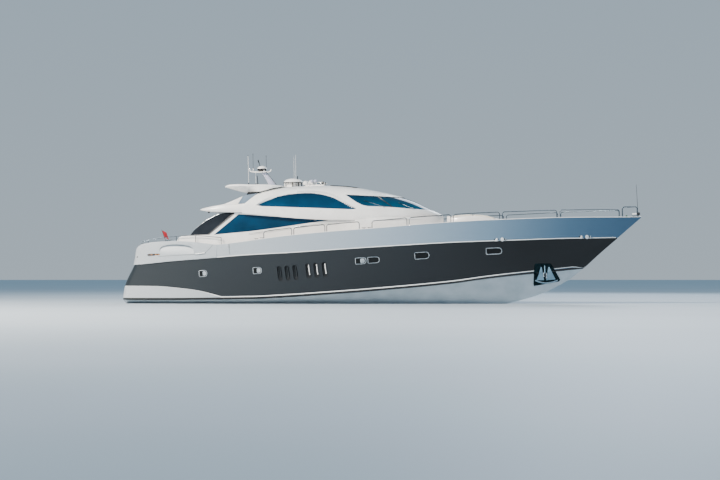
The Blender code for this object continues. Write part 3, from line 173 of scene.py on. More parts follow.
def gelcoat(name, lightHex, darkHex, roughness, peel=0.0004):
    # moulded gelcoat: a deep even shine with faint waves left by the mould
    material, tree, shader, place = newFinish(name, lightHex, roughness, Coat_Weight=0.35, Coat_Roughness=0.06)
    haze = blotches(tree, place, 0.9).outputs["Fac"]
    twoTones(tree, shader, haze, darkHex, lightHex)
    roughBetween(tree, shader, haze, roughness - 0.05, roughness + 0.06)
    bumps(tree, shader, blotches(tree, place, 3.0, 1).outputs["Fac"], peel)
    return material


def topcoat(name, stops, roughness, metallic, coat):
    # sprayed metallic topcoat: small flakes under clear lacquer, longboarded almost flat; the colour along the length
    # is a painted reflection, darker and bluer towards the bow
    material, tree, shader, place = newFinish(name, stops[0][1], roughness, Metallic=metallic, Coat_Weight=coat,
                                              Coat_Roughness=0.05, Specular_IOR_Level=0.35)
    flakes = blotches(tree, place, 90.0, 2).outputs["Fac"]  # drawn coarser than real flakes, so that they show
    mottled(tree, shader, fadeAlong(tree, place, stops), flakes, "#dfe1e3")
    roughBetween(tree, shader, blotches(tree, place, 0.6).outputs["Fac"], roughness - 0.04, roughness + 0.06)
    bumps(tree, shader, blotches(tree, place, 1.4, 1).outputs["Fac"], 0.0016)
    return material


def tintedPane(name, stops, transmission, roughness=0.04):
    # toughened glass; the colour from low to high is partly a graded tint and partly a painted reflection of sea and
    # sky
    material, tree, shader, place = newFinish(name, stops[0][1], roughness, Transmission_Weight=transmission, IOR=1.5,
                                              Specular_IOR_Level=0.28)
    haze = blotches(tree, place, 0.8).outputs["Fac"]
    mottled(tree, shader, fadeAlong(tree, place, stops, "Z"), haze, "#d6d9dc")
    roughBetween(tree, shader, haze, roughness, roughness + 0.04)
    bumps(tree, shader, blotches(tree, place, 0.5, 1).outputs["Fac"], 0.0012)
    return material


def metal(name, baseHex, darkHex, roughness, streak=(1, 1, 1), scale=6.0):
    material, tree, shader, place = newFinish(name, baseHex, roughness, Metallic=1.0)
    marks = blotches(tree, place, scale, 4, streak).outputs["Fac"]
    twoTones(tree, shader, marks, darkHex, baseHex, 0.3, 0.6)
    roughBetween(tree, shader, marks, roughness + 0.07, max(0.03, roughness - 0.04))
    return material


def teakDeck():
    # laid teak: planks 45 mm wide with black caulking of 5 mm, bleached by the sun
    material, tree, shader, place = newFinish("laidTeak", "#b98a58", 0.62)
    grain = blotches(tree, place, 1.0, 6, (5, 90, 90)).outputs["Fac"]
    ramp = twoTones(tree, shader, grain, "#8f6238", "#c89b69", 0.3, 0.7)
    parts = addNode(tree, "ShaderNodeSeparateXYZ", links={0: place})
    plank = addNode(tree, "ShaderNodeMath", {"operation": "FRACT"}, {0: addNode(
        tree, "ShaderNodeMath", {"operation": "MULTIPLY", 1: 1 / 0.05}, {0: parts.outputs["Y"]}).outputs[0]})
    seam = addNode(tree, "ShaderNodeMath", {"operation": "LESS_THAN", 1: 0.12}, {0: plank.outputs[0]})
    mix = addNode(tree, "ShaderNodeMix", {"data_type": "RGBA", 7: linearHex("#16130f")},
                  {0: seam.outputs[0], 6: ramp.outputs["Color"]})
    tree.links.new(mix.outputs[2], shader.inputs["Base Color"])
    low = addNode(tree, "ShaderNodeMath", {"operation": "SUBTRACT", 0: 1.0}, {1: seam.outputs[0]})
    bumps(tree, shader, low.outputs[0], 0.002, 0.6)
    return material


def wovenCloth(name, lightHex, darkHex, threadMm, roughness=0.85):
    # woven outdoor acrylic: crossed threads and a soft sheen; threads drawn a few times too wide to show
    material, tree, shader, place = newFinish(name, lightHex, roughness, Sheen_Weight=0.3, Sheen_Roughness=0.5)
    waves = []
    for direction in ("X", "Y"):
        waves.append(addNode(tree, "ShaderNodeTexWave", {"bands_direction": direction, "Scale": 160 / threadMm,
                                                        "Distortion": 0.6}, {"Vector": place}).outputs["Fac"])
    weave = addNode(tree, "ShaderNodeMath", {"operation": "MAXIMUM"}, {0: waves[0], 1: waves[1]}).outputs[0]
    soil = blotches(tree, place, 2.5).outputs["Fac"]
    both = addNode(tree, "ShaderNodeMath", {"operation": "MULTIPLY_ADD", 1: 0.35}, {0: weave, 2: soil}).outputs[0]
    twoTones(tree, shader, both, darkHex, lightHex, 0.45, 0.85)
    bumps(tree, shader, weave, 0.0008, 0.5)
    return material


def grainedHide(name, lightHex, darkHex):
    # dyed cream leather: fine pebbled grain that shines where it is worn
    material, tree, shader, place = newFinish(name, lightHex, 0.5, Sheen_Weight=0.1)
    cells = addNode(tree, "ShaderNodeTexVoronoi", {"Scale": 220.0}, {"Vector": place}).outputs["Distance"]
    twoTones(tree, shader, blotches(tree, place, 3.0).outputs["Fac"], darkHex, lightHex)
    roughBetween(tree, shader, cells, 0.42, 0.6)
    bumps(tree, shader, cells, 0.0006, 0.6)
    return material


def softBlack(name, hexValue, roughness):
    # moulded rubber and plastic: matt, with dust in its grain
    material, tree, shader, place = newFinish(name, hexValue, roughness)
    dust = blotches(tree, place, 14.0, 5).outputs["Fac"]
    twoTones(tree, shader, dust, hexValue, "#34373a", 0.55, 0.9)
    bumps(tree, shader, dust, 0.0006, 0.4)
    return material


def antislip():
    # moulded diamond pattern with 12 mm pitch, drawn at 30 mm so that it shows
    material, tree, shader, place = newFinish("antislipGelcoat", "#dcdcd8", 0.6)
    cells = addNode(tree, "ShaderNodeTexVoronoi", {"Scale": 33.0, "Randomness": 0.0, "distance": "MANHATTAN"},
                    {"Vector": place}).outputs["Distance"]
    twoTones(tree, shader, blotches(tree, place, 1.5).outputs["Fac"], "#cfcfca", "#e4e3df")
    bumps(tree, shader, cells, 0.002, 0.7)
    return material


def varnished(name, darkHex, lightHex):
    # varnished joinery: long grain under a glossy coat
    material, tree, shader, place = newFinish(name, lightHex, 0.3, Coat_Weight=0.8, Coat_Roughness=0.08)
    grain = addNode(tree, "ShaderNodeTexWave", {"bands_direction": "Y", "Scale": 5.0, "Distortion": 5.0,
                                                "Detail": 4.0}, {"Vector": place}).outputs["Fac"]
    twoTones(tree, shader, grain, darkHex, lightHex, 0.1, 0.9)
    return material


def litLens(name, hexValue):
    # moulded acrylic lamp cover
    material, tree, shader, place = newFinish(name, hexValue, 0.12, Transmission_Weight=0.3, Coat_Weight=0.5)
    ribs = addNode(tree, "ShaderNodeTexWave", {"bands_direction": "Z", "Scale": 30.0}, {"Vector": place})
    bumps(tree, shader, ribs.outputs["Fac"], 0.002, 0.4)
    return material


finishes = {
    "white": gelcoat("whiteGelcoat", "#f7f5f1", "#efece8", 0.26),
    "deckWhite": gelcoat("deckGelcoat", "#e6e5e1", "#d8d7d2", 0.45, 0.0008),
    "antislip": antislip(),
    # the silver and graphite stops along the length are a painted reflection: lighter aft, darker and bluer towards the
    # bow, where the flared sides face down to the sea
    "silver": topcoat("silverTopcoatPaintedReflection", [(-16.5, "#ccd0d2"), (-9.0, "#b9c1c7"), (0.0, "#a1b0be"), (7.0, "#7d97ac"),
                                        (12.0, "#53758f"), (16.5, "#3f6480")], 0.34, 0.15, 0.25),
    "graphite": topcoat("graphiteTopcoatPaintedReflection", [(-16.5, "#2b3135"), (-8.0, "#22282d"), (2.0, "#181d22"),
                                            (9.0, "#0b0f13"), (16.5, "#05080b")], 0.30, 0.1, 0.2),
    "bottomGrey": gelcoat("bottomPaint", "#b4bfc6", "#a3b0b8", 0.5, 0.001),
    "bootBlack": gelcoat("bootTopBlack", "#060709", "#040506", 0.3),
    "lineWhite": gelcoat("coveLineWhite", "#f8f8f6", "#eeeeec", 0.3),
    # the panes' stops are partly tint and partly painted reflection: the lighter, bluer and teal parts low down stand
    # for the sea seen in the glass
    "glass": tintedPane("blueTintedGlass", [(4.2, "#0c3550"), (5.3, "#113c5a"), (5.6, "#0f4363"), (6.6, "#0a2940")],
                        0.12),
    "screenGlass": tintedPane("windscreenGlass", [(4.6, "#1c6a83"), (5.5, "#12506c"), (6.4, "#0b2c45")], 0.22),
    "smokeGlass": tintedPane("smokedScreen", [(4.1, "#2a2f36"), (5.5, "#1d2026")], 0.12),
    "finGlass": tintedPane("greyTintedPane", [(5.8, "#6f8396"), (6.7, "#8796a6")], 0.1, 0.12),
    "portGlass": tintedPane("portholeGlass", [(1.4, "#030608"), (2.9, "#030608")], 0.05),
    "steel": metal("polishedSteel", "#dde0e2", "#aeb4b8", 0.16),
    # the rails' steel is drawn darker than the polished steel as a painted reflection of dark water
    "railSteel": metal("railSteel", "#5e6a74", "#3b464f", 0.22),
    "darkSteel": metal("shadedSteel", "#1c2c30", "#071012", 0.22, (1, 6, 1), 3.0),
    "paleSteel": gelcoat("galvanisedAnchor", "#7ea2b6", "#5f8498", 0.45),
    "mastGrey": gelcoat("mastPanelGrey", "#b3b5c8", "#9da0b4", 0.35),
    "brushed": metal("brushedSteel", "#b9bdc0", "#8d9194", 0.28, (2, 60, 60)),
    "bronze": metal("castBronze", "#c59a52", "#8c6a38", 0.3, scale=9.0),
    "teak": teakDeck(),
    "teakPlain": varnished("oiledTeak", "#8a5426", "#c98a4c"),
    "wood": varnished("varnishedWalnut", "#3a2214", "#6b442a"),
    "cream": wovenCloth("creamCushionCloth", "#e9e2d4", "#d2c8b6", 2.0),
    "piping": wovenCloth("cushionPiping", "#b7ab97", "#9c907c", 2.0),
    "flagRed": wovenCloth("redBunting", "#c8102e", "#8d0a20", 1.5, 0.75),
    "hide": grainedHide("creamHide", "#d9cdb8", "#bfb299"),
    "rubber": softBlack("mouldedRubber", "#15171a", 0.6),
    "trim": softBlack("blackTrim", "#0d0e10", 0.35),
    "lens": litLens("clearLampCover", "#f4f6f6"),
    "redLens": litLens("redLampCover", "#b01018"),
    "greenLens": litLens("greenLampCover", "#0a7a3c"),
}
print("finishes made:", len(finishes))


# Pieces

def newObject(name, bm, mats, recalc=True):
    if recalc:
        bmesh.ops.recalc_face_normals(bm, faces=bm.faces)
    mesh = bpy.data.meshes.new(name)
    bm.to_mesh(mesh)
    bm.free()
    made = bpy.data.objects.new(name, mesh)
    bpy.context.scene.collection.objects.link(made)
    for mat in ([mats] if isinstance(mats, str) else mats):
        mesh.materials.append(finishes[mat])
    return made


def settle(made):  # applies the modifiers
    bpy.context.view_layer.update()
    graph = bpy.context.evaluated_depsgraph_get()
    mesh = bpy.data.meshes.new_from_object(made.evaluated_get(graph))
    made.modifiers.clear()
    made.data = mesh
    return made


def combine(made, others, operation="DIFFERENCE"):
    for other in others:
        modifier = made.modifiers.new(operation, "BOOLEAN")
        modifier.object = other
        modifier.operation = operation
        modifier.solver = "EXACT"
        settle(made)
        bpy.data.objects.remove(other)
    return made


def rounded(made, width, segments=3, angle=40):
    modifier = made.modifiers.new("roundEdges", "BEVEL")
    modifier.width = width
    modifier.segments = segments
    modifier.limit_method = "ANGLE"
    modifier.angle_limit = math.radians(angle)
    modifier.harden_normals = False
    return settle(made)


def finishPiece(made, stands=(), body=hullBody, sharp=38):
    made.data.shade_smooth()
    made.data.set_sharp_from_angle(angle=math.radians(sharp))
    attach(made, body)
    if stands:
        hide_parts(*([stands] if isinstance(stands, str) else stands))
    return made


def portSide(made, name, stands=(), body=hullBody, sharp=38):  # the mirror image of a starboard piece
    bm = bmesh.new()
    bm.from_mesh(made.data)
    bmesh.ops.scale(bm, vec=(1, -1, 1), verts=bm.verts)
    bmesh.ops.reverse_faces(bm, faces=bm.faces)
    mesh = bpy.data.meshes.new(name)
    bm.to_mesh(mesh)
    bm.free()
    for mat in made.data.materials:
        mesh.materials.append(mat)
    copy = bpy.data.objects.new(name, mesh)
    bpy.context.scene.collection.objects.link(copy)
    return finishPiece(copy, stands, body, sharp)


def bothSides(made, stands=None, bodies=(hullBody, hullBody), sharp=38):
    # finishes a starboard piece whose name ends in Starboard, and adds its port twin
    pair = (stands + "_starboard", stands + "_port") if stands else ((), ())
    finishPiece(made, pair[0], bodies[0], sharp)
    return made, portSide(made, made.name.replace("Starboard", "Port"), pair[1], bodies[1], sharp)


def skin(rings, closed=False, bands=None, caps=False):
    bm = bmesh.new()
    rows = [[bm.verts.new(p) for p in ring] for ring in rings]
    count = len(rows[0])
    for row, after in zip(rows, rows[1:]):
        for i in range(count if closed else count - 1):
            j = (i + 1) % count
            face = bm.faces.new((row[i], row[j], after[j], after[i]))
            face.material_index = bands[i] if bands else 0
    if caps:
        bm.faces.new(rows[0])
        bm.faces.new(rows[-1])
    bmesh.ops.remove_doubles(bm, verts=bm.verts, dist=0.0002)
    return bm


def prism(name, outline, low, high, mats="white", axis="Y", slotIndex=0, outer=None):
    # a flat outline pushed along an axis; a second outline with as many points gives it a taper
    place = {"Y": lambda a, b, c: (a, c, b), "Z": lambda a, b, c: (a, b, c), "X": lambda a, b, c: (c, a, b)}[axis]
    bm = bmesh.new()
    first = [bm.verts.new(place(a, b, low)) for a, b in outline]
    last = [bm.verts.new(place(a, b, high)) for a, b in (outer or outline)]
    bm.faces.new(first)
    bm.faces.new(last)
    for i in range(len(first)):
        j = (i + 1) % len(first)
        bm.faces.new((first[i], first[j], last[j], last[i]))
    for face in bm.faces:
        face.material_index = slotIndex
    return newObject(name, bm, mats)


def block(name, low, high, mats="white", slotIndex=0):
    return prism(name, [(low[0], low[1]), (high[0], low[1]), (high[0], high[1]), (low[0], high[1])], low[2], high[2],
                 mats, "Z", slotIndex)


def lathe(bm, profile, place=(0, 0, 0), steps=32, turn=None, matIndex=0):
    # turns a (radius, height) profile about Z; the ends close on the axis
    matrix = Matrix.Translation(place) @ (turn or Matrix.Identity(4))
    rings = []
    for radius, height in profile:
        if radius < 1e-5:
            rings.append([bm.verts.new(matrix @ Vector((0, 0, height)))])
        else:
            rings.append([bm.verts.new(matrix @ Vector((radius * math.cos(2 * math.pi * k / steps),
                                                        radius * math.sin(2 * math.pi * k / steps), height)))
                          for k in range(steps)])
    for a, b in zip(rings, rings[1:]):
        for k in range(steps):
            corners = [a[k % len(a)], a[(k + 1) % len(a)], b[(k + 1) % len(b)], b[k % len(b)]]
            unique = list(dict.fromkeys(corners))
            if len(unique) > 2:
                bm.faces.new(unique).material_index = matIndex


def bar(bm, start, end, radius, endRadius=None, sides=12, matIndex=0):
    start, end = Vector(start), Vector(end)
    along = end - start
    turn = along.to_track_quat("Z", "Y").to_matrix().to_4x4()
    last = radius if endRadius is None else endRadius
    lathe(bm, [(0, 0), (radius, 0), (last, along.length), (0, along.length)], start, sides, turn, matIndex)


def pill(width, height, count=8):  # a slot outline with round ends, centred on zero
    r = min(width, height) / 2
    points = []
    for cx, cy, start in ((width / 2 - r, height / 2 - r, 0), (r - width / 2, height / 2 - r, 90),
                          (r - width / 2, r - height / 2, 180), (width / 2 - r, r - height / 2, 270)):
        for k in range(count + 1):
            angle = math.radians(start + 90 * k / count)
            points.append((cx + r * math.cos(angle), cy + r * math.sin(angle)))
    return [p for p, q in zip(points, points[1:] + points[:1]) if (Vector(p) - Vector(q)).length > 1e-6]


def grown(outline, by):  # an outline moved out by a distance, or in when it is negative
    area = sum(a[0] * b[1] - b[0] * a[1] for a, b in zip(outline, outline[1:] + outline[:1]))
    side = -1 if area > 0 else 1
    moved = []
    for before, here, after in zip(outline[-1:] + outline[:-1], outline, outline[1:] + outline[:1]):
        a = Vector((here[0] - before[0], here[1] - before[1])).normalized()
        b = Vector((after[0] - here[0], after[1] - here[1])).normalized()
        normal = Vector((-a.y - b.y, a.x + b.x)) * side
        scale = by / max(0.3, normal.length_squared / 2)
        moved.append((here[0] + normal.x * scale, here[1] + normal.y * scale))
    return moved


# Node trees for what follows a path

def pathTree(name, kind):
    # kind "tube" sweeps a round section, kind "repeat" sets blocks along the path
    tree = bpy.data.node_groups.new(name, "GeometryNodeTree")
    sockets = {"tube": [("Radius", 0.022), ("Sides", 10)],
               "repeat": [("Spacing", 0.1), ("Across", 0.2), ("Out", 0.05), ("Along", 0.05)]}[kind]
    tree.interface.new_socket("Geometry", in_out="INPUT", socket_type="NodeSocketGeometry")
    for label, value in sockets:
        socketKind = "NodeSocketInt" if label == "Sides" else "NodeSocketFloat"
        tree.interface.new_socket(label, in_out="INPUT", socket_type=socketKind).default_value = value
    tree.interface.new_socket("Finish", in_out="INPUT", socket_type="NodeSocketMaterial")
    tree.interface.new_socket("Geometry", in_out="OUTPUT", socket_type="NodeSocketGeometry")
    given = addNode(tree, "NodeGroupInput").outputs
    out = addNode(tree, "NodeGroupOutput")
    path = addNode(tree, "GeometryNodeMeshToCurve", links={0: given["Geometry"]}).outputs[0]
    if kind == "tube":
        ring = addNode(tree, "GeometryNodeCurvePrimitiveCircle",
                       links={"Radius": given["Radius"], "Resolution": given["Sides"]})
        swept = addNode(tree, "GeometryNodeCurveToMesh", {"Fill Caps": True}, {0: path, 1: ring.outputs[0]})
        shape = swept.outputs[0]
    else:
        upright = addNode(tree, "GeometryNodeSetCurveNormal", {"mode": "Z_UP"}, {0: path})
        points = addNode(tree, "GeometryNodeCurveToPoints", {"mode": "LENGTH"},
                         {"Curve": upright.outputs[0], "Length": given["Spacing"]})
        size = addNode(tree, "ShaderNodeCombineXYZ", links={0: given["Out"], 1: given["Across"], 2: given["Along"]})
        slat = addNode(tree, "GeometryNodeMeshCube", links={"Size": size.outputs[0]})
        placed = addNode(tree, "GeometryNodeInstanceOnPoints",
                         links={"Points": points.outputs["Points"], "Instance": slat.outputs["Mesh"],
                                "Rotation": points.outputs["Rotation"]})
        shape = placed.outputs[0]
    real = addNode(tree, "GeometryNodeRealizeInstances", links={0: shape})
    painted = addNode(tree, "GeometryNodeSetMaterial", links={0: real.outputs[0], "Material": given["Finish"]})
    tree.links.new(painted.outputs[0], out.inputs[0])
    return tree


trees = {kind: pathTree(kind + "AlongPath", kind) for kind in ("tube", "repeat")}


def alongPaths(name, kind, paths, finish, **values):
    mesh = bpy.data.meshes.new(name)
    points, edges = [], []
    for path in paths:
        edges += [(len(points) + k, len(points) + k + 1) for k in range(len(path) - 1)]
        points += [tuple(p) for p in path]
    mesh.from_pydata(points, edges, [])
    made = bpy.data.objects.new(name, mesh)
    bpy.context.scene.collection.objects.link(made)
    modifier = made.modifiers.new("alongPath", "NODES")
    modifier.node_group = trees[kind]
    for item in trees[kind].interface.items_tree:
        if item.item_type == "SOCKET" and item.in_out == "INPUT" and item.name in values:
            modifier[item.identifier] = values[item.name]
        if item.item_type == "SOCKET" and item.name == "Finish":
            modifier[item.identifier] = finishes[finish]
    settle(made)
    bm = bmesh.new()
    bm.from_mesh(made.data)
    bmesh.ops.remove_doubles(bm, verts=bm.verts, dist=0.00005)
    bmesh.ops.recalc_face_normals(bm, faces=bm.faces)
    bm.to_mesh(made.data)
    bm.free()
    return made


# Hull and topsides: (x, value) tables from stern to bow

hullLines = {
    "sheerY": [(-16.6, 2.90), (-14, 3.10), (-10, 3.25), (-6, 3.30), (-2, 3.30), (2, 3.24), (5, 3.08), (8, 2.72),
               (10.5, 2.20), (12.5, 1.62), (14.5, 0.88), (15.7, 0.36), (16.49, 0.012)],
    "sheerZ": [(-16.6, 3.30), (-10.2, 3.40), (-9.2, 3.47), (-7.9, 3.61), (-6.3, 3.80), (-3.9, 4.00), (-2.3, 4.10),
               (0, 4.22), (2.8, 4.40), (4.8, 4.50), (6.5, 4.57), (9, 4.63), (11.4, 4.67), (13.3, 4.67), (15, 4.66),
               (16.49, 4.67)],
    "knuckleY": [(-16.6, 2.82), (-14, 3.02), (-10, 3.20), (-6, 3.24), (-2, 3.20), (2, 3.06), (5, 2.78), (8, 2.27),
                 (10.5, 1.64), (12.5, 1.00), (14, 0.42), (14.98, 0.012)],
    "knuckleZ": [(-16.6, 2.22), (-15.7, 2.27), (-12.7, 2.45), (-10.4, 2.58), (-8.2, 2.71), (-5.5, 2.80),
                 (-2.3, 2.95), (1.5, 3.12), (4.9, 3.25), (8.9, 3.33), (11.4, 3.38), (14.98, 3.40)],
    "chineY": [(-16.6, 2.66), (-14, 2.84), (-10, 2.94), (-6, 2.92), (-2, 2.82), (2, 2.56), (5, 2.18), (7.5, 1.68),
               (9.5, 1.16), (11.35, 0.56), (12.4, 0.14), (12.78, 0.012)],
    "chineZ": [(-16.6, 0.02), (-12, -0.04), (-8, -0.05), (-6.4, 0.0), (-2.4, 0.20), (1.2, 0.43), (4.8, 0.72),
               (6.4, 0.92), (7.8, 1.07), (9.6, 1.23), (11.35, 1.38), (12.78, 1.51)],
    "keelZ": [(-16.6, -0.86), (-12, -1.02), (-6, -1.15), (0, -1.20), (4, -1.10), (7, -0.80), (9, -0.40),
              (10.3, 0.02), (11.32, 0.49), (12.05, 0.93), (12.78, 1.50), (13.88, 2.47), (14.98, 3.39), (16.49, 4.66)],
    "deckZ": [(-10.2, 3.02), (-6, 3.40), (-2, 3.68), (2, 3.96), (6, 4.26), (9, 4.42), (13, 4.50), (16.4, 4.54)],
    "skirtZ": [(-16.6, 0.90), (-14.2, 0.84), (-12.7, 0.70), (-11.5, 0.53), (-10.84, 0.37), (-10.04, 0.15)],
    "rake": [(-1.0, 0.0), (0.16, 0.0), (0.88, 0.15), (2.25, 0.83), (2.82, 1.09), (3.26, 1.20), (3.9, 1.30)],
}
hull = {"sternX": -16.55, "bowX": 14.95, "sternRadius": 0.42, "chineFlat": 0.14, "knuckleStemX": 14.98,
        "chineStemX": 12.78, "sideRows": 14, "stripeBlack": 0.115, "stripeWhite": 0.175, "whiteLine": 0.06,
        "wallY": 2.46, "wellForeX": -12.95, "platformZ": 0.64, "garageY": 1.58, "garageForeX": -10.6,
        "garageFloorZ": 0.75}
bulwark = {"aftX": -10.2, "thick": 0.13, "tipX": 16.46}
gateX = (-9.95, -9.35)


def at(line, x):
    return smoothAt(hullLines[line], x)


def raked(x, y, z, inset=0.0):  # near the stern the hull leans forward with height
    share = max(0.0, min(1.0, (-13 - x) / 3.5))
    return (x + smoothAt(hullLines["rake"], z) * share, max(0.0, y - inset), z)


def hullHalf(x):  # half breadths and heights from the keel to the colour line, with the index of each band's finish
    keel = at("keelZ", x)
    pointed = x >= hull["chineStemX"]
    chineY = 0.006 if pointed else at("chineY", x)
    chineZ = keel + 0.012 if pointed else at("chineZ", x)
    knuckleY, knuckleZ = at("knuckleY", x), at("knuckleZ", x)
    flat = hull["chineFlat"] * min(1.0, chineY)
    flare = knuckleY - chineY
    hollow = 0.16 * flare * min(1.0, max(0.0, (x - 2) / 6))
    high = max(0.05, knuckleZ - chineZ)

    def side(share):
        return chineY + flare * share - hollow * 2.9 * share * (1 - share)

    fade = min(1.0, max(0.0, (hull["chineStemX"] + 0.1 - x) / 0.7))
    black, white = hull["stripeBlack"] * fade, hull["stripeWhite"] * fade
    lineWide = hull["whiteLine"] * fade
    if x < -10.04:  # the silver skirt of the stern takes the white line's place
        white = max(white, at("skirtZ", x) - chineZ)
        lineWide *= max(0.25, 1 + (x + 10.04) / 1.5)
    # the white line narrows towards the bow as painted shade, where the line catches less light
    lineWide *= 1 - 0.55 * min(1.0, max(0.0, (x - 6) / 5))
    marks = [0.0, black, white - lineWide, white]
    points = [(0.0, keel), (chineY * 0.25, keel + (chineZ - keel) * 0.24), (chineY * 0.5, keel + (chineZ - keel) * 0.47),
              (chineY - flat, chineZ - 0.03)]
    bands = [3, 3, 3, 4]
    for mark in marks:
        points.append((side(mark / high), chineZ + mark))
    bands += [4, 1, 5]
    for row in range(1, hull["sideRows"] + 1):
        share = (white + (high - white) * row / hull["sideRows"]) / high
        points.append((side(share), chineZ + high * share))
        bands.append(0)
    return points, bands


def hullRing(x):
    radius = hull["sternRadius"]
    left = radius - min(radius, x - hull["sternX"])
    inset = radius - math.sqrt(max(0.0, radius ** 2 - left ** 2))
    points, bands = hullHalf(x)
    half = [raked(x, y, z, inset if y > 0.5 else 0) for y, z in points]
    starboard = [(px, -y, z) for px, y, z in half]
    return starboard + list(reversed(half[1:])), bands + [2] + bands[::-1]


def hullSideY(x, z):  # half breadth of the hull side at a height
    points, bands = hullHalf(x)
    rows = sorted((height, y) for y, height in points)
    return lineAt(rows, z)


hullMats = ("graphite", "silver", "white", "bottomGrey", "bootBlack", "lineWhite", "trim")
corner = [0, 0.01, 0.03, 0.06, 0.11, 0.18, 0.27, 0.42]
hullStations = [hull["sternX"] + k for k in corner] + spread(-16.1, hull["bowX"], 0.22)


def makeHull():
    rings, bands = zip(*[hullRing(x) for x in hullStations])
    bm = bmesh.new()
    rows = [[bm.verts.new(p) for p in ring] for ring in rings]
    count = len(rows[0])
    for row, after in zip(rows, rows[1:]):
        for i in range(count):
            j = (i + 1) % count
            bm.faces.new((row[i], row[j], after[j], after[i])).material_index = bands[0][i]
    half = len(hullHalf(0)[0])
    for row in (rows[0], rows[-1]):
        for i in range(half - 1):
            corners = (row[i], row[i + 1], row[(count - i - 1) % count], row[(count - i) % count])
            bm.faces.new(list(dict.fromkeys(corners))).material_index = bands[0][i]
    bmesh.ops.remove_doubles(bm, verts=bm.verts, dist=0.0001)
    made = newObject("hullShell", bm, hullMats)
    bosses = bmesh.new()
    for y in (-1.45, 1.45):
        bar(bosses, (-15.25, y, -0.57), (-15.25, y, -0.25), 0.12, None, 24, 3)
    combine(made, [newObject("bosses", bosses, hullMats)], "UNION")
    well = block("well", (-18, -hull["wallY"], hull["platformZ"]), (hull["wellForeX"], hull["wallY"], 4.5), hullMats, 2)
    garage = block("garage", (hull["wellForeX"] - 0.1, -hull["garageY"], hull["garageFloorZ"]),
                   (hull["garageForeX"], hull["garageY"], 4.5), hullMats, 2)
    combine(made, [well, garage] + [ventCutter(*place) for place in ventPlaces])
    finishPiece(made, "hull", sharp=28)


# Engine room vents: slanted slots in two groups of three, x and z of the middle, on both sides
vents = {"width": 0.29, "height": 0.94, "depth": 0.11, "slant": 6}
ventPlaces = [(x, z, side) for side in (-1, 1) for x, z in ((-6.16, 1.50), (-5.67, 1.53), (-5.17, 1.56),
                                                           (-4.35, 1.64), (-3.84, 1.67), (-3.31, 1.70))]


def ventOutline(x, z, grow=0.0):
    slant = math.radians(vents["slant"])
    points = pill(vents["width"] + grow * 2, vents["height"] + grow * 2, 5)
    return [(x + a * math.cos(slant) - b * math.sin(slant), z + a * math.sin(slant) + b * math.cos(slant))
            for a, b in points]


def ventCutter(x, z, side):
    y = hullSideY(x, z)
    return prism("ventCutter", ventOutline(x, z), side * (y - vents["depth"]), side * (y + 0.3), hullMats, "Y", 6)


def onHull(outline, near, far, mats, name, fan=None):
    # a plate that follows the hull side between two distances out from it, starboard
    bm = bmesh.new()
    sides = []
    for out in (near, far):
        sides.append([bm.verts.new((x, -(hullSideY(x, z) + out), z)) for x, z in outline])
    for i in range(len(outline)):
        j = (i + 1) % len(outline)
        bm.faces.new((sides[0][i], sides[0][j], sides[1][j], sides[1][i]))
    if fan is None:
        bm.faces.new(sides[0])
        bm.faces.new(sides[1])
    else:
        inner = [[bm.verts.new((x, -(hullSideY(x, z) + out), z)) for x, z in fan] for out in (near, far)]
        for k in (0, 1):
            for i in range(len(outline)):
                j = (i + 1) % len(outline)
                bm.faces.new((sides[k][i], sides[k][j], inner[k][j], inner[k][i]))
        for i in range(len(fan)):
            j = (i + 1) % len(fan)
            bm.faces.new((inner[0][i], inner[0][j], inner[1][j], inner[1][i]))
    return newObject(name, bm, mats)


def joined(name, parts):  # one object from several that touch or overlap
    bm = bmesh.new()
    mats = []
    for part in parts:
        before = len(bm.faces)
        bm.from_mesh(part.data)
        bm.faces.ensure_lookup_table()
        names = [m.name for m in part.data.materials]
        for mat in part.data.materials:
            if mat.name not in mats:
                mats.append(mat.name)
        for face in bm.faces[before:]:
            face.material_index = mats.index(names[face.material_index])
        bpy.data.objects.remove(part)
    made = newObject(name, bm, [next(k for k, f in finishes.items() if f.name == m) for m in mats], recalc=False)
    return made


def makeVentTrim():
    parts = []
    lean = math.tan(math.radians(vents["slant"]))

    def blade(x, z, offset, low, high, inset, radius, finish):
        bm = bmesh.new()
        ends = [(x + offset - lean * b, -(hullSideY(x, z + b) - inset), z + b) for b in (low, high)]
        bar(bm, ends[0], ends[1], radius, None, 10)
        parts.append(newObject("ventBlade", bm, finish))

    for x, z, side in ventPlaces:
        if side > 0:
            continue
        parts.append(onHull(ventOutline(x, z, 0.020), 0.0, 0.012, "graphite", "ventRim", ventOutline(x, z, -0.004)))
        # the outer blade of the fore group is white as a painted highlight; the same blade in the aft group is graphite
        blade(x, z, 0.062, -0.26, 0.38, 0.052, 0.034, "lineWhite" if x > -5 else "graphite")
        blade(x, z, -0.045, -0.30, 0.40, 0.085, 0.020, "graphite")
    bothSides(joined("ventTrimStarboard", parts))


# Portholes: x, z, width and height of the frame, and whether a bright polished patch in the fore half stands for a
# painted reflection on the glass
portholes = [(-11.09, 1.60, 0.54, 0.42, True), (-7.59, 1.72, 0.57, 0.43, True), (-1.01, 2.21, 0.70, 0.42, True),
             (-0.20, 2.25, 0.75, 0.41, False), (2.82, 2.47, 0.92, 0.44, False), (7.28, 2.67, 1.00, 0.42, False)]
portholeFrame = 0.036


def portholeOutline(width, height, paintedGlint):
    # square corners aft, a blunt point forward
    r, tip = 0.07, height * (0.42 if paintedGlint else 0.55)
    half, high = width / 2, height / 2
    corner = [(-half + r - r * math.cos(t), high - r + r * math.sin(t)) for t in [math.pi / 2 * k / 4 for k in range(5)]]
    nose = [(half - tip + tip * math.sin(t), high * math.cos(t) ** 0.8) for t in [math.pi / 2 * k / 6 for k in range(6)]]
    upper = corner + nose
    return upper + [(half, 0.0)] + [(a, -b) for a, b in reversed(upper)]


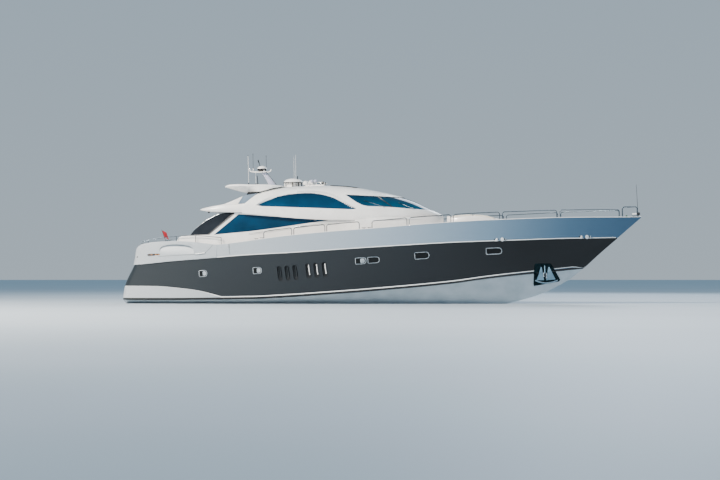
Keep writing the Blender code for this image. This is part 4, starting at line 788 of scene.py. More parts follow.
def makePortholes():
    frames, panes = [], []
    for x, z, width, height, paintedGlint in portholes:
        tilt = math.atan((at("knuckleZ", x + 0.3) - at("knuckleZ", x - 0.3)) / 0.6)

        def turned(outline):
            return [(x + a * math.cos(tilt) - b * math.sin(tilt), z + a * math.sin(tilt) + b * math.cos(tilt))
                    for a, b in outline]

        outline = turned(portholeOutline(width, height, paintedGlint))
        inside = grown(outline, -portholeFrame)
        frames.append(rounded(onHull(outline, 0.001, 0.028, "steel", "frame", inside), 0.007, 2, 40))
        panes.append(onHull(grown(inside, 0.004), 0.002, 0.010, "portGlass", "pane"))
        if paintedGlint:
            # a bright polished patch over the fore part of the pane is a painted reflection on the glass
            glintOutline = turned([(a + width * 0.16, b) for a, b in portholeOutline(width * 0.40, height * 0.66, True)])
            panes.append(onHull(glintOutline, 0.004, 0.018, "steel", "paintedGlint"))
    bothSides(joined("portholeFramesStarboard", frames))
    bothSides(joined("portholePanesStarboard", panes))


def topsideY(x, z):
    if x >= hull["knuckleStemX"]:
        lowY, lowZ = 0.006, at("keelZ", x)
    else:
        lowY, lowZ = at("knuckleY", x), at("knuckleZ", x)
    return lowY + (at("sheerY", x) - lowY) * (z - lowZ) / max(0.001, at("sheerZ", x) - lowZ)


def bulwarkEdges(x):  # outer and inner half breadths and heights of both edges
    slope = (at("sheerY", x + 0.05) - at("sheerY", x - 0.05)) / 0.1
    thick = bulwark["thick"] * math.sqrt(1 + slope * slope)
    lowZ = at("knuckleZ", x) if x < hull["knuckleStemX"] else at("keelZ", x)
    highZ = at("sheerZ", x)
    lowY, highY = topsideY(x, lowZ), topsideY(x, highZ)
    lowIn, highIn = max(0.0004, lowY - thick), max(0.0004, highY - thick)
    return max(lowY, lowIn + 0.004), max(highY, highIn + 0.004), lowIn, highIn, lowZ + 0.0004, highZ


quarterTop = [(-15.74, 2.285), (-15.60, 2.66), (-15.51, 3.12), (-15.40, 3.34), (-15.12, 3.51), (-14.62, 3.61),
              (-13.9, 3.665), (-12.9, 3.69), (-11.93, 3.63), (-11.1, 3.53), (-10.2, 3.39)]
quarterRecess = [(-13.88, 2.86), (-13.87, 3.20), (-13.74, 3.35), (-13.4, 3.445), (-12.91, 3.48), (-12.3, 3.44),
                 (-11.86, 3.31), (-11.68, 3.15), (-11.66, 2.86)]
fairleadSlot = (-14.28, 2.85, 0.80, 0.10)  # x, z, width and height of the rope opening in the quarter


def makeTopsides():
    rings, bands = [], [0, 0, 0, 1, 2, 2, 0]
    for x in spread(bulwark["aftX"], 14.8, 0.25) + [14.95, 15.0, 15.2, 15.5, 15.8, 16.1, 16.3, bulwark["tipX"]]:
        lowY, highY, lowIn, highIn, lowZ, highZ = bulwarkEdges(x)
        outer = [(x, -(lowY + (highY - lowY) * t), lowZ + (highZ - lowZ) * t) for t in (0, 0.33, 0.66, 1)]
        inner = [(x, -(lowIn + (highIn - lowIn) * t), lowZ + (highZ - lowZ) * t) for t in (1, 0.5, 0)]
        rings.append(outer + inner)
    side = newObject("topsideStarboard", skin(rings, True, bands, True), ("silver", "white", "white"))
    aft, fore = gateX
    bottom = at("deckZ", fore) + 0.05
    gate = side.copy()
    gate.data = side.data.copy()
    gate.name = "sideGateStarboard"
    bpy.context.scene.collection.objects.link(gate)
    combine(gate, [block("piece", (aft + 0.006, -3.6, bottom + 0.006), (fore - 0.0254, -2.6, 5))], "INTERSECT")
    hinge = bmesh.new()
    for z in (bottom + 0.05, bottom + 0.2):
        bar(hinge, (fore - 0.0254, -3.125, z), (fore - 0.0254, -3.125, z + 0.07), 0.025, None, 16)
    latch = block("latch", (aft + 0.04, -3.13, bottom + 0.12), (aft + 0.14, -3.07, bottom + 0.17), "steel")
    gate = joined("sideGateStarboard", [rounded(gate, 0.006, 2, 50), newObject("hinge", hinge, "steel"),
                                        rounded(latch, 0.01)])
    bothSides(gate, "side_gate", ("side_gate_starboard", "side_gate_port"))
    combine(side, [block("gateSpace", (aft, -3.6, bottom), (fore, -2.6, 5))])
    outline = rounder(quarterTop, 5) + [(-10.16, 3.405), (-10.16, 2.5), (-15.66, 1.9)]
    quarter = prism("quarter", outline, -3.6, -2.50, ("silver", "white", "teak"))
    plan = rounder([(-15.86, -2.20), (-15.76, -2.55), (-15.47, -2.82), (-14.9, -3.00), (-14, -3.095)], 5)
    plan += [(x, -at("sheerY", x) + 0.004) for x in spread(-13.6, bulwark["aftX"] + 0.2, 0.4)]
    combine(quarter, [prism("plan", plan + [(bulwark["aftX"] + 0.2, -2.20)], 1.5, 4.5, "silver", "Z")], "INTERSECT")
    below = [(raked(x, 0, at("knuckleZ", x))[0], at("knuckleZ", x) + 0.0004) for x in hullStations if x < -9]
    combine(quarter, [prism("below", [(-18, 1), (-18, below[0][1])] + below + [(-9, 1)], -5, 5, "silver")])
    rounded(quarter, 0.045, 4, 40)
    bm = bmesh.new()  # the recess is a flat that runs in behind the skin towards its curved upper edge
    outline = rounder(quarterRecess, 4)
    inner = [bm.verts.new((x, -3.13 + 0.15 * (z - 2.86) / 0.62, z)) for x, z in outline]
    outer = [bm.verts.new((x, -3.6, z)) for x, z in outline]
    bm.faces.new(inner)
    bm.faces.new(outer)
    for i in range(len(outline)):
        j = (i + 1) % len(outline)
        bm.faces.new((inner[i], inner[j], outer[j], outer[i]))
    combine(quarter, [newObject("recess", bm, "silver")])
    x, z, width, height = fairleadSlot
    slot = [(x + a, z + b + 0.03 * a) for a, b in pill(width, height, 6)]
    combine(quarter, [prism("fairlead", slot, -3.5, -2.96, ("silver", "white", "teak"), slotIndex=2)])
    side = joined("topsideStarboard", [side, quarter])
    bothSides(side, "topside", sharp=30)
    rims = [prism("rim", grown(slot, 0.022), -3.075, -3.035, "steel")]
    combine(rims[0], [prism("hole", grown(slot, -0.008), -3.3, -2.9, "steel")])
    # dark rubber blocks between the teak chocks stand for painted shade in the gaps of the rope opening
    for k in (-0.26, -0.05, 0.03, 0.2):
        rims.append(block("rope", (x + k - 0.03, -3.045, z - 0.04), (x + k + 0.03, -3.0, z + 0.05), "rubber"))
    for k in (-0.16, 0.12, 0.31):
        rims.append(block("chock", (x + k - 0.05, -3.05, z - 0.035), (x + k + 0.05, -3.0, z + 0.04), "teakPlain"))
    hawse = bmesh.new()
    lathe(hawse, [(0, 0.03), (0.055, 0.02), (0.07, 0.0), (0, 0.0)], (-15.40, -2.83, 2.71), 18,
          Matrix.Rotation(math.pi / 2 + 0.5, 4, "X"))
    rims.append(newObject("hawse", hawse, "rubber"))
    horn = [(-11.60, 2.815), (-11.52, 2.86), (-11.25, 2.88), (-10.98, 2.94), (-10.90, 2.93), (-10.93, 2.86),
            (-11.25, 2.83)]
    rims.append(rounded(prism("horn", horn, -3.29, -3.20, "lineWhite"), 0.015, 2))
    bothSides(joined("quarterFittingsStarboard", rims))
    # dark lines on the quarter: the first two are panel seams; the third, low from x -14.0 to -11.0, is a painted shade
    # line along a ledge
    lines = [[(x, -at("sheerY", x) - 0.002, z) for x, z in ((-10.93, 2.88), (-10.66, 3.12), (-10.42, 3.39))],
             [(x, -at("sheerY", x) - 0.002, z) for x, z in ((-9.33, 2.78), (-9.34, 3.1), (-9.35, 3.44))],
             [(x, -at("sheerY", x) - 0.002, z) for x, z in ((-14.0, 2.73), (-12.4, 2.79), (-11.0, 2.84))]]
    bothSides(alongPaths("panelLinesStarboard", "tube", lines, "rubber", Radius=0.007, Sides=6),
              sharp=60)
    tube = rounder([(-15.12, 3.70), (-14.8, 3.77), (-13.94, 3.91), (-12.9, 4.0), (-11.66, 4.02), (-9.98, 3.86)], 5)
    y = -2.66
    posts = [[(x, y, low), (x, y, lineAt([(a, b) for a, b in tube], x))]
             for x, low in ((-14.74, 3.5), (-12.9, 3.6), (-11.64, 3.55), (-9.98, 3.4))]
    bothSides(alongPaths("quarterRailStarboard", "tube", [[(a, y, b) for a, b in tube]] + posts, "railSteel",
                         Radius=0.02, Sides=10), sharp=60)
    bm = bmesh.new()
    cleat(bm, -13.4, -2.72, 3.66, 0.0, 1.5)
    cleat(bm, -15.0, -2.60, 3.48, 0.2, 1.2)
    bothSides(newObject("quarterCleatsStarboard", bm, "railSteel"), sharp=60)


def makeRubRail():  # the bright line where the silver meets the dark hull, and under it a dark tube that stands for the line's painted shadow
    def line(out, drop):
        return [(raked(x, 0, at("knuckleZ", x))[0], -at("knuckleY", x) - out, at("knuckleZ", x) + drop)
                for x in spread(-15.9, 14.85, 0.3)]

    made = alongPaths("knuckleLineStarboard", "tube", [line(0.004, 0.014)], "lineWhite", Radius=0.026, Sides=10)
    bothSides(made, sharp=60)
    # a dark tube under the bright line: the painted shadow of the line
    made = alongPaths("knuckleGrooveStarboard", "tube", [line(-0.004, -0.022)], "bootBlack", Radius=0.020, Sides=8)
    bothSides(made, sharp=60)


# Guard rails: aft end, fore end, height over the sheer
railSections = [(-7.12, -5.33, 0.47), (-5.20, -3.22, 0.47), (-3.10, -1.04, 0.48), (-0.24, 1.95, 0.48),
                (2.09, 4.68, 0.48), (4.84, 7.69, 0.48), (7.87, 11.21, 0.48), (11.42, 15.10, 0.49),
                (15.30, 16.22, 0.66)]
rail = {"radius": 0.025, "corner": 0.14, "capHeight": 0.035}


def railY(x):
    lowY, highY, lowIn, highIn, lowZ, highZ = bulwarkEdges(x)
    return -(highY + highIn) / 2


def makeRails():
    rings = []
    for x in [gateX[1] + 0.002] + spread(-9.2, 14.8, 0.3) + [15, 15.2, 15.5, 15.8, 16.1, 16.3, bulwark["tipX"]]:
        lowY, highY, lowIn, highIn, lowZ, highZ = bulwarkEdges(x)
        top, low = highZ + rail["capHeight"], highZ + 0.0004
        rings.append([(x, -highY - 0.006, low), (x, -highY - 0.010, low + 0.018), (x, -highY + 0.004, top),
                      (x, -(highY + highIn) / 2, top + 0.004), (x, -highIn - 0.004 * (highIn > 0.02), top),
                      (x, -highIn, low)])
    cap = newObject("cap", skin(rings, True, None, True), "white")
    paths, feet = [], bmesh.new()
    for aft, fore, rise in railSections:
        c = rail["corner"]
        ends = []
        for end, inward in ((aft, 1), (fore, -1)):
            foot = (end, railY(end), at("sheerZ", end) + rail["capHeight"] - 0.01)
            bend = [(end + inward * c * (1 - math.cos(t)), railY(end), at("sheerZ", end) + rise - c * (1 - math.sin(t)))
                    for t in [math.pi / 2 * k / 6 for k in range(7)]]
            ends.append([foot] + bend)
            lathe(feet, [(0, 0.02), (0.03, 0.018), (0.045, 0.004), (0.045, -0.004)],
                  (end, railY(end), at("sheerZ", end) + rail["capHeight"] + 0.002), 12)
        middle = [(x, railY(x), at("sheerZ", x) + rise) for x in spread(aft + c, fore - c, 0.25)[1:-1]]
        paths.append(ends[0] + middle + ends[1][::-1])
    tubes = alongPaths("tubes", "tube", paths, "railSteel", Radius=rail["radius"], Sides=12)
    for x in (-7.6, -7.25, -0.75, -0.42, 16.05):
        cleat(feet, x, railY(x), at("sheerZ", x) + rail["capHeight"], 0.0, 0.9, 1)
    made = joined("railStarboard", [cap, tubes, newObject("feet", feet, ("steel", "railSteel"))])
    bothSides(made, "rail", sharp=50)


def makeDeck():  # laid side decks and the antislip foredeck lie on the deck moulding
    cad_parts["deck"].data.materials.clear()
    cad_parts["deck"].data.materials.append(finishes["deckWhite"])
    planks = []
    for x in spread(-9.2, 7.9, 0.3):
        lowY, highY, lowIn, highIn, lowZ, highZ = bulwarkEdges(x)
        z = lineAt([(s, at("deckZ", s)) for s in deckStations], x)
        outer = lowIn + (highIn - lowIn) * (z - lowZ) / (highZ - lowZ) - 0.05
        inner = 2.50 if x < -1.3 else houseFootY(x) + 0.05
        planks.append([(x, -outer, z - 0.01), (x, -outer, z + 0.006), (x, -inner, z + 0.006), (x, -inner, z - 0.01)])
    bothSides(newObject("sideDeckTeakStarboard", skin(planks, True, None, True), "teak"), sharp=30)
    panels = []
    for aft, fore, inner in ((8.05, 11.75, 0.46), (12.55, 14.2, 0.0)):
        rings = []
        for x in spread(aft, fore, 0.3):
            lowY, highY, lowIn, highIn, lowZ, highZ = bulwarkEdges(x)
            z = lineAt([(s, at("deckZ", s)) for s in deckStations], x)
            outer = lowIn + (highIn - lowIn) * (z - lowZ) / (highZ - lowZ) - 0.12
            rings.append([(x, -outer, z - 0.01), (x, -outer, z + 0.005), (x, -inner, z + 0.005), (x, -inner, z - 0.01)])
        panels.append(newObject("panel", skin(rings, True, None, True), "antislip"))
    bothSides(joined("foredeckPanelsStarboard", panels), sharp=30)


deckStations = (-10.2, -8.6, -7, -5.5, -4, -2.5, -1, 0.5, 2, 3.5, 5, 6.5, 8, 9.3, 10.4, 11.4, 12.3, 13.1, 13.8, 14.4)


# Superstructure: crown, lower lip and roundness of the upper house, (x, value) from aft forward

houseLines = {
    "crownZ": [(-8.6, 6.92), (-7.5, 7.03), (-6.5, 7.09), (-5, 7.12), (-3.7, 7.12), (-2.3, 7.04), (-1.2, 6.88),
               (0, 6.63), (1, 6.38), (1.6, 6.21), (2.2, 5.98), (2.8, 5.67), (3.3, 5.40), (3.8, 5.14), (3.98, 5.06)],
    "lipZ": [(-8.6, 5.38), (-6.8, 5.17), (-5.5, 5.02), (-4.5, 4.93), (-3.1, 4.84), (-1.4, 4.80), (0, 4.93), (2.7, 4.96),
             (3.98, 4.99)],
    "lipY": [(-8.6, 2.72), (-6, 2.74), (-4, 2.70), (-2, 2.60), (0, 2.42), (1, 2.22), (2, 1.88), (3, 1.33),
             (3.5, 0.93), (3.85, 0.45), (3.98, 0.10)],
    "roundness": [(-8.6, 3.1), (-2, 3.1), (1, 2.7), (3.98, 2.3)],
    "overTop": [(-11.5, 5.70), (-10.9, 5.82), (-10.36, 5.91), (-9.42, 5.98), (-8.602, 5.98)],
    "overLow": [(-11.5, 5.665), (-10.9, 5.55), (-9.7, 5.47), (-8.602, 5.42)],
    "overY": [(-11.5, 1.9), (-11.42, 2.22), (-11.2, 2.45), (-10.8, 2.60), (-10, 2.70), (-8.602, 2.72)],
}
house = {"aftX": -8.6, "tipX": 3.98, "wallY": 0.30, "roof": 0.08, "paneDepth": 0.03, "paneThick": 0.03,
         "archDepth": 0.11, "lipWidth": 0.27, "sideY": 2.46, "sideWall": 0.10, "soleZ": 2.90}
archTop = [(-7.69, 5.82), (-7.3, 6.01), (-6.84, 6.19), (-6.19, 6.40), (-5.55, 6.50), (-4.9, 6.54), (-4.39, 6.54),
           (-3.75, 6.48), (-2.99, 6.29), (-2.48, 6.07), (-2.04, 5.85), (-1.59, 5.62), (-1.27, 5.46)]
screenLow = [(-2.04, 6.43), (-0.95, 5.74), (0.05, 5.62), (0.96, 5.56), (1.88, 5.47), (2.6, 5.42), (3.34, 5.375)]
screenTop = [(3.6, 5.6), (1.7, 6.5), (1.46, 6.235), (0.9, 6.24), (-0.11, 6.30)]
mullionLine = ((-0.18, 6.40), (1.06, 5.50))
archAftCurve = [(-8.44, 5.98), (-8.33, 6.07), (-8.01, 6.34), (-7.75, 6.54), (-7.45, 6.71), (-7.1, 6.83),
                (-6.6, 6.96), (-6.1, 7.06)]
sideWindow = [(-10.47, 4.07), (-8.19, 4.24), (-6.45, 4.43), (-3.9, 4.75), (-3.08, 4.84), (-3.9, 4.96), (-5.5, 5.02),
              (-7.25, 5.17), (-8.87, 5.31)]
sunroofPlace = {"aftX": -3.1, "foreX": -1.5, "halfY": 0.95, "lap": 0.06}


def houseAt(line, x):
    return smoothAt(houseLines[line], x)


def houseRing(x, sideIn=0.0, topIn=0.0, drop=0.0, steps=22):
    lipY, lipZ = max(0.02, houseAt("lipY", x) - sideIn), houseAt("lipZ", x) - drop
    crown = houseAt("crownZ", x) - topIn
    power = 2 / houseAt("roundness", x)
    half = []
    for k in range(steps):
        angle = math.pi / 2 * (k / steps) ** 1.15
        half.append((lipY * math.cos(angle) ** power, lipZ + (crown - lipZ) * math.sin(angle) ** power))
    return [(x, y, z) for y, z in half] + [(x, 0.0, crown)] + [(x, -y, z) for y, z in reversed(half)]


def houseSolid(name, stations, sideIn, topIn, drop=0.0, mats="white", slotIndex=0):
    made = newObject(name, skin([houseRing(x, sideIn, topIn, drop) for x in stations], True, None, True), mats)
    for face in made.data.polygons:
        face.material_index = slotIndex
    return made


def houseSideY(x, z):  # half breadth of the upper house's outer face
    lipY, lipZ, crown = houseAt("lipY", x), houseAt("lipZ", x), houseAt("crownZ", x)
    power = houseAt("roundness", x)
    share = min(1.0, max(0.0, (z - lipZ) / (crown - lipZ)))
    return lipY * (1 - share ** power) ** (1 / power)


houseStations = spread(house["aftX"], 2.0, 0.24) + [2.2, 2.4, 2.6, 2.8, 3.0, 3.2, 3.4, 3.55, 3.7, 3.8, 3.88, 3.94,
                                                    house["tipX"]]
houseMats = ("white", "trim", "wood")


def archOutlines():  # the opening at the glass, and past the wide soft lip at the outer face, as closed outlines
    inner = rounder(archTop, 3)
    outer = []
    for k, (x, z) in enumerate(inner):
        before, after = Vector(inner[max(0, k - 1)]), Vector(inner[min(len(inner) - 1, k + 1)])
        along = (after - before).normalized()
        wide = house["lipWidth"] * min(1.0, 0.25 + 3.0 * k / len(inner), 0.15 + 3.0 * (len(inner) - 1 - k) / len(inner))
        outer.append((x - along.y * wide, z + along.x * wide))
    (x0, z0), (x1, z1) = inner[-1], inner[0]
    foot = [(x0 + (x1 - x0) * k / 16, z0 + (z1 - z0) * k / 16) for k in range(1, 16)]
    return inner + foot, outer + [(x, z - 0.012) for x, z in foot]


def archCutter(side):
    inner, outer = archOutlines()
    deep = house["archDepth"] + 0.01
    rings = [[(x, side * 1.4, z) for x, z in inner], [(x, side * (houseSideY(x, z) - deep), z) for x, z in inner],
             [(x, side * (houseSideY(x, z) + 0.012), z) for x, z in outer], [(x, side * 3.3, z) for x, z in outer]]
    return newObject("archCutter", skin(rings, True, None, True), houseMats)


def makeUpperHouse():
    made = houseSolid("upperHouse", houseStations, 0.0, 0.0, mats=houseMats)
    inside = houseSolid("inside", [-8.9] + [x for x in houseStations if -8 < x < 3.1], house["wallY"], house["roof"],
                        0.06, houseMats)
    aft = [(-9.2, 5.98)] + rounder(archAftCurve, 4) + [(-6.1, 7.6), (-9.2, 7.6)]
    cutters = [inside, prism("aft", aft, -3.5, 3.5, houseMats), archCutter(-1), archCutter(1)]
    cutters.append(prism("screen", rounder(screenLow, 3) + screenTop, -3.5, 3.5, houseMats, slotIndex=1))
    s = sunroofPlace
    cutters.append(block("roofHole", (s["aftX"], -s["halfY"], 6.4), (s["foreX"], s["halfY"], 7.6), houseMats))
    combine(made, cutters)
    rounded(made, 0.012, 2, 50)
    finishPiece(made, "upper_house", sharp=32)


def makeArchLouvres():  # slats across the forward part of the arch's lip
    inner, outer = archOutlines()
    path = []
    for k in range(14, 34):
        x, z = (inner[k][0] + outer[k][0]) / 2, (inner[k][1] + outer[k][1]) / 2
        path.append((x, -(houseSideY(x, z) - house["archDepth"] * 0.42), z))
    made = alongPaths("archLouvresStarboard", "repeat", [path], "white", Spacing=0.13, Across=0.22, Out=0.06,
                      Along=0.05)
    bothSides(rounded(made, 0.008, 2), sharp=40)


def makeSunroof():
    s = sunroofPlace
    low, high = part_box("sunroof")
    stations = spread(-4.4, -0.6, 0.15)
    made = houseSolid("sunroofPanel", stations, -0.045, -0.045, mats=("screenGlass", "trim"))
    combine(made, [houseSolid("under", [-4.6] + stations + [-0.4], -0.006, -0.006, 0.2, ("screenGlass", "trim"), 1)])
    edge = block("edge", (s["aftX"] - s["lap"], -s["halfY"] - s["lap"], 6.4),
                 (s["foreX"] + s["lap"], s["halfY"] + s["lap"], 7.6), ("screenGlass", "trim"), 1)
    combine(made, [edge], "INTERSECT")
    rounded(made, 0.008, 2, 50)
    hinge = bmesh.new()
    x = s["aftX"] - s["lap"]
    for y in (-0.15, 0.05):
        bar(hinge, (x, y, houseAt("crownZ", x) + 0.0204), (x, y + 0.1, houseAt("crownZ", x) + 0.0204), 0.02, None, 16)
    made = joined("sunroofPanel", [made, newObject("hinge", hinge, "steel")])
    finishPiece(made, "sunroof", "sunroof")


def makeHouseGlass():
    deep = house["paneDepth"] + house["paneThick"]
    stations = [x for x in houseStations if x < 3.95]
    inner = [-8.8] + [x for x in stations if -8 < x < 3.8]

    def curvedSkin(near, far, finish):
        made = houseSolid("skin", stations, near, near, mats=finish)
        return combine(made, [houseSolid("skinInside", inner, far, far, 0.06, finish)])

    screen = curvedSkin(house["paneDepth"], deep, "screenGlass")
    outline = grown(rounder(screenLow, 3) + screenTop, -0.001)
    top, foot = Vector(mullionLine[0]), Vector(mullionLine[1])
    along = (foot - top).normalized()
    a, b = top - along, foot + along
    sides = {"windscreenStarboard": ([(a.x - 0.02, a.y), (b.x - 0.02, b.y), (-4, 4.5), (-4, 7.4)], (-3.5, -0.4)),
             "windscreenCentre": ([(a.x + 0.02, a.y), (b.x + 0.02, b.y), (4, 4), (4.5, 7.4)], (-3.5, 3.5))}
    for name, (half, reach) in sides.items():
        pane = screen.copy()
        pane.data = screen.data.copy()
        pane.name = name
        bpy.context.scene.collection.objects.link(pane)
        combine(pane, [prism("outline", outline, *reach, "screenGlass"), prism("half", half, -4, 4, "screenGlass")],
                "INTERSECT")
        if name == "windscreenCentre":
            finishPiece(pane, "windscreen_centre")
        else:
            bothSides(pane, "windscreen")
    bpy.data.objects.remove(screen)
    inner = archOutlines()[0]
    top = inner[:-15]
    rings = []
    for x in spread(top[0][0] - 0.05, top[-1][0] + 0.05, 0.14):
        low = lineAt([top[0], top[-1]], x) - 0.06
        high = lineAt(top, x) + 0.06
        rows = spread(low, high, (high - low) / 9)
        near = [(x, -(houseSideY(x, z) - house["archDepth"]), z) for z in rows]
        far = [(x, -(houseSideY(x, z) - house["archDepth"] - 0.03), z) for z in reversed(rows)]
        rings.append(near + far)
    pane = newObject("archWindowStarboard", skin(rings, True, None, True), "glass")
    bothSides(pane, "arch_window")
    for node in ("rear_window",):
        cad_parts[node].data.materials.clear()
        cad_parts[node].data.materials.append(finishes["smokeGlass"])
    seams = []
    for side in (-1, 1):
        path = []
        for t in [k / 10 for k in range(11)]:
            point = Vector(mullionLine[0]) * (1 - t) + Vector(mullionLine[1]) * t
            if screenHolds(point):
                path.append((point.x, side * (houseSideY(point.x, point.y) - house["paneDepth"] + 0.004), point.y))
        seams.append(path)
    finishPiece(alongPaths("windscreenMullions", "tube", seams, "trim", Radius=0.028, Sides=8))


def screenHolds(point):
    return lineAt(screenLow, point.x) < point.y < lineAt(sorted(screenTop), point.x) - 0.02


# Wipers: the foot and the blade's two ends on the glass, by x and z on the starboard side (y 0 on the middle one)
wiperPlaces = [((0.42, 5.60), (-0.1, 5.78), (-0.85, 6.02)), ((2.20, 5.46), (1.85, 5.62), (1.30, 5.84))]


def onGlass(x, z, side, out):
    return Vector((x, side * max(0.0, houseSideY(x, z) - house["paneDepth"] + out), z))


def makeWipers():
    bm = bmesh.new()
    for side in (-1, 1):
        for foot, near, far in wiperPlaces:
            start = onGlass(*foot, side, 0.05)
            middle = (onGlass(*near, side, 0.05) + onGlass(*far, side, 0.05)) / 2
            bar(bm, start, middle, 0.018, 0.012, 8)
            bar(bm, onGlass(*near, side, 0.02), onGlass(*far, side, 0.02), 0.014, 0.014, 8, 1)
            lathe(bm, [(0, 0.05), (0.04, 0.04), (0.05, -0.03), (0, -0.03)], start, 12, None, 0)
    finishPiece(newObject("wipers", bm, ("steel", "trim")))


def makeOverhang():
    rings = []
    for x in [-11.5, -11.47, -11.42, -11.35, -11.25] + spread(-11.1, -8.602, 0.25):
        wide, top, low = houseAt("overY", x), houseAt("overTop", x), houseAt("overLow", x)
        edge = low + (top - low) * 0.35
        half = rounder([(0, low), (wide * 0.6, low), (wide - 0.14, low), (wide - 0.03, low + (edge - low) * 0.5),
                        (wide, edge), (wide - 0.05, edge + (top - edge) * 0.6), (wide - 0.20, top),
                        (wide * 0.6, top + 0.03), (0, top + 0.05)], 4)
        rings.append([(x, -y, z) for y, z in half] + [(x, y, z) for y, z in reversed(half[1:-1])])
    made = newObject("aftOverhang", skin(rings, True, None, True), ("white", "trim", "lens"))
    white = [(-10.2, 5.90), (-10.1, 5.95), (-9.79, 6.01), (-9.33, 6.17), (-8.8, 6.40), (-8.62, 6.46), (-8.81, 6.18),
             (-9.01, 5.90)]
    pane = [(-9.02, 5.90), (-8.81, 6.18), (-8.62, 6.46), (-8.35, 6.57), (-8.0, 6.61), (-7.7, 6.66), (-7.66, 6.60),
            (-8.03, 6.32), (-8.35, 6.04), (-8.46, 5.985), (-8.603, 5.98), (-8.603, 5.90)]
    wedge = [(-8.36, 6.56), (-8.28, 6.7446), (-7.45, 6.7446), (-7.55, 6.64), (-7.95, 6.62)]
    fins = []
    for side in (-1, 1):
        fins.append(rounded(prism("fin", white, side * 2.32, side * 2.22), 0.012, 2))
        fins.append(prism("finPane", pane, side * 2.29, side * 2.26, "finGlass"))
        fins.append(prism("finWedge", wedge, side * 2.31, side * 2.20, "trim"))
        foot = [(x, side * 2.295, z) for x, z in ((-9.0, 5.915), (-8.75, 5.985), (-8.46, 5.995), (-8.34, 6.06), (-8.02, 6.34),
                                                (-7.72, 6.60))]
        fins.append(alongPaths("finSeal", "tube", [foot], "trim", Radius=0.022, Sides=8))
    fittings = bmesh.new()
    for side in (-1, 1):
        for x in (-11.1, -10.4, -9.7):
            lathe(fittings, [(0, -0.02), (0.05, -0.016), (0.06, 0.01), (0, 0.01)],
                  (x, side * 1.9, houseAt("overLow", x)), 16, None, 2)
        lathe(fittings, [(0, -0.10), (0.05, -0.09), (0.07, -0.02), (0.04, 0.02), (0, 0.02)],
              (-10.85, side * 2.25, houseAt("overLow", -10.85)), 16, None, 1)
    made = joined("aftOverhang", [made] + fins + [newObject("fittings", fittings, ("white", "trim", "lens"))])
    finishPiece(made, "aft_overhang")


wing = {"underZ": 6.745, "halfY": 2.36}


def makeRadarWing():
    profile = {"top": [(-9.93, 7.16), (-9.75, 7.20), (-9.4, 7.245), (-8.9, 7.25), (-8.1, 7.215), (-7.2, 7.20), (-6.4, 7.15),
                       (-6.1, 7.115)],
               "low": [(-9.93, 7.12), (-9.6, 7.03), (-9.3, 6.94), (-8.9, 6.82), (-8.6, 6.755), (-8.32, 6.745),
                       (-7.55, 6.745), (-7.3, 6.80), (-6.7, 6.97), (-6.1, 7.075)],
               "wide": [(-9.93, 1.45), (-9.88, 1.75), (-9.72, 2.08), (-9.4, 2.28), (-8.7, 2.36), (-7.3, 2.30), (-6.6, 2.04),
                        (-6.1, 1.55)],
               "tuck": [(-9.93, 0.10), (-9.3, 0.34), (-8.3, 0.36), (-7.6, 0.05), (-6.1, 0.03)]}
    rings = []
    for x in [-9.93, -9.90, -9.86, -9.80, -9.72, -9.6] + spread(-9.45, -6.1, 0.2):
        top, low, wide, tuck = [smoothAt(profile[k], x) for k in ("top", "low", "wide", "tuck")]
        edge = max(low + 0.005, top - 0.12)
        half = [(0, low), (wide * 0.5, low), (wide - tuck, low), (wide - tuck * 0.35, low + (edge - low) * 0.75),
                (wide - 0.012, edge), (wide, edge + (top - edge) * 0.45), (wide - 0.03, top - 0.012), (wide - 0.10, top),
                (wide * 0.5, top + 0.02), (0, top + 0.03)]
        rings.append([(x, -y, z) for y, z in half] + [(x, y, z) for y, z in reversed(half[1:-1])])
    made = newObject("radarWing", skin(rings, True, None, True), "white")
    bm = bmesh.new()
    for x, y, foot, top in ((-8.58, -0.5, 7.18, 9.23), (-8.30, 0.5, 7.18, 8.2)):
        bar(bm, (x, y, foot), (x, y, foot + 0.26), 0.034, 0.028, 12, 0)
        bar(bm, (x, y, foot + 0.26), (x - 0.02, y, top), 0.013, 0.009, 8, 1)
        lathe(bm, [(0, 0.03), (0.02, 0.02), (0.02, -0.02), (0, -0.03)], (x - 0.02, y, top - 0.02), 10, None, 0)
    bar(bm, (-8.03, -0.25, 7.17), (-8.03, -0.25, 7.42), 0.038, 0.034, 12, 0)
    bar(bm, (-8.03, -0.25, 7.42), (-8.07, -0.25, 7.90), 0.028, 0.024, 12, 0)
    made = joined("radarWing", [made, newObject("aerials", bm, ("trim", "white"))])
    finishPiece(made, "radar_wing")


def sideTopLine():  # the line under the overhang and the upper house
    aft = [(x, houseAt("overLow", x) - 0.001) for x in spread(-9.5, -8.602, 0.2)]
    return aft + [(x, houseAt("lipZ", x) - 0.001) for x in spread(-8.6, -1.42, 0.3)]


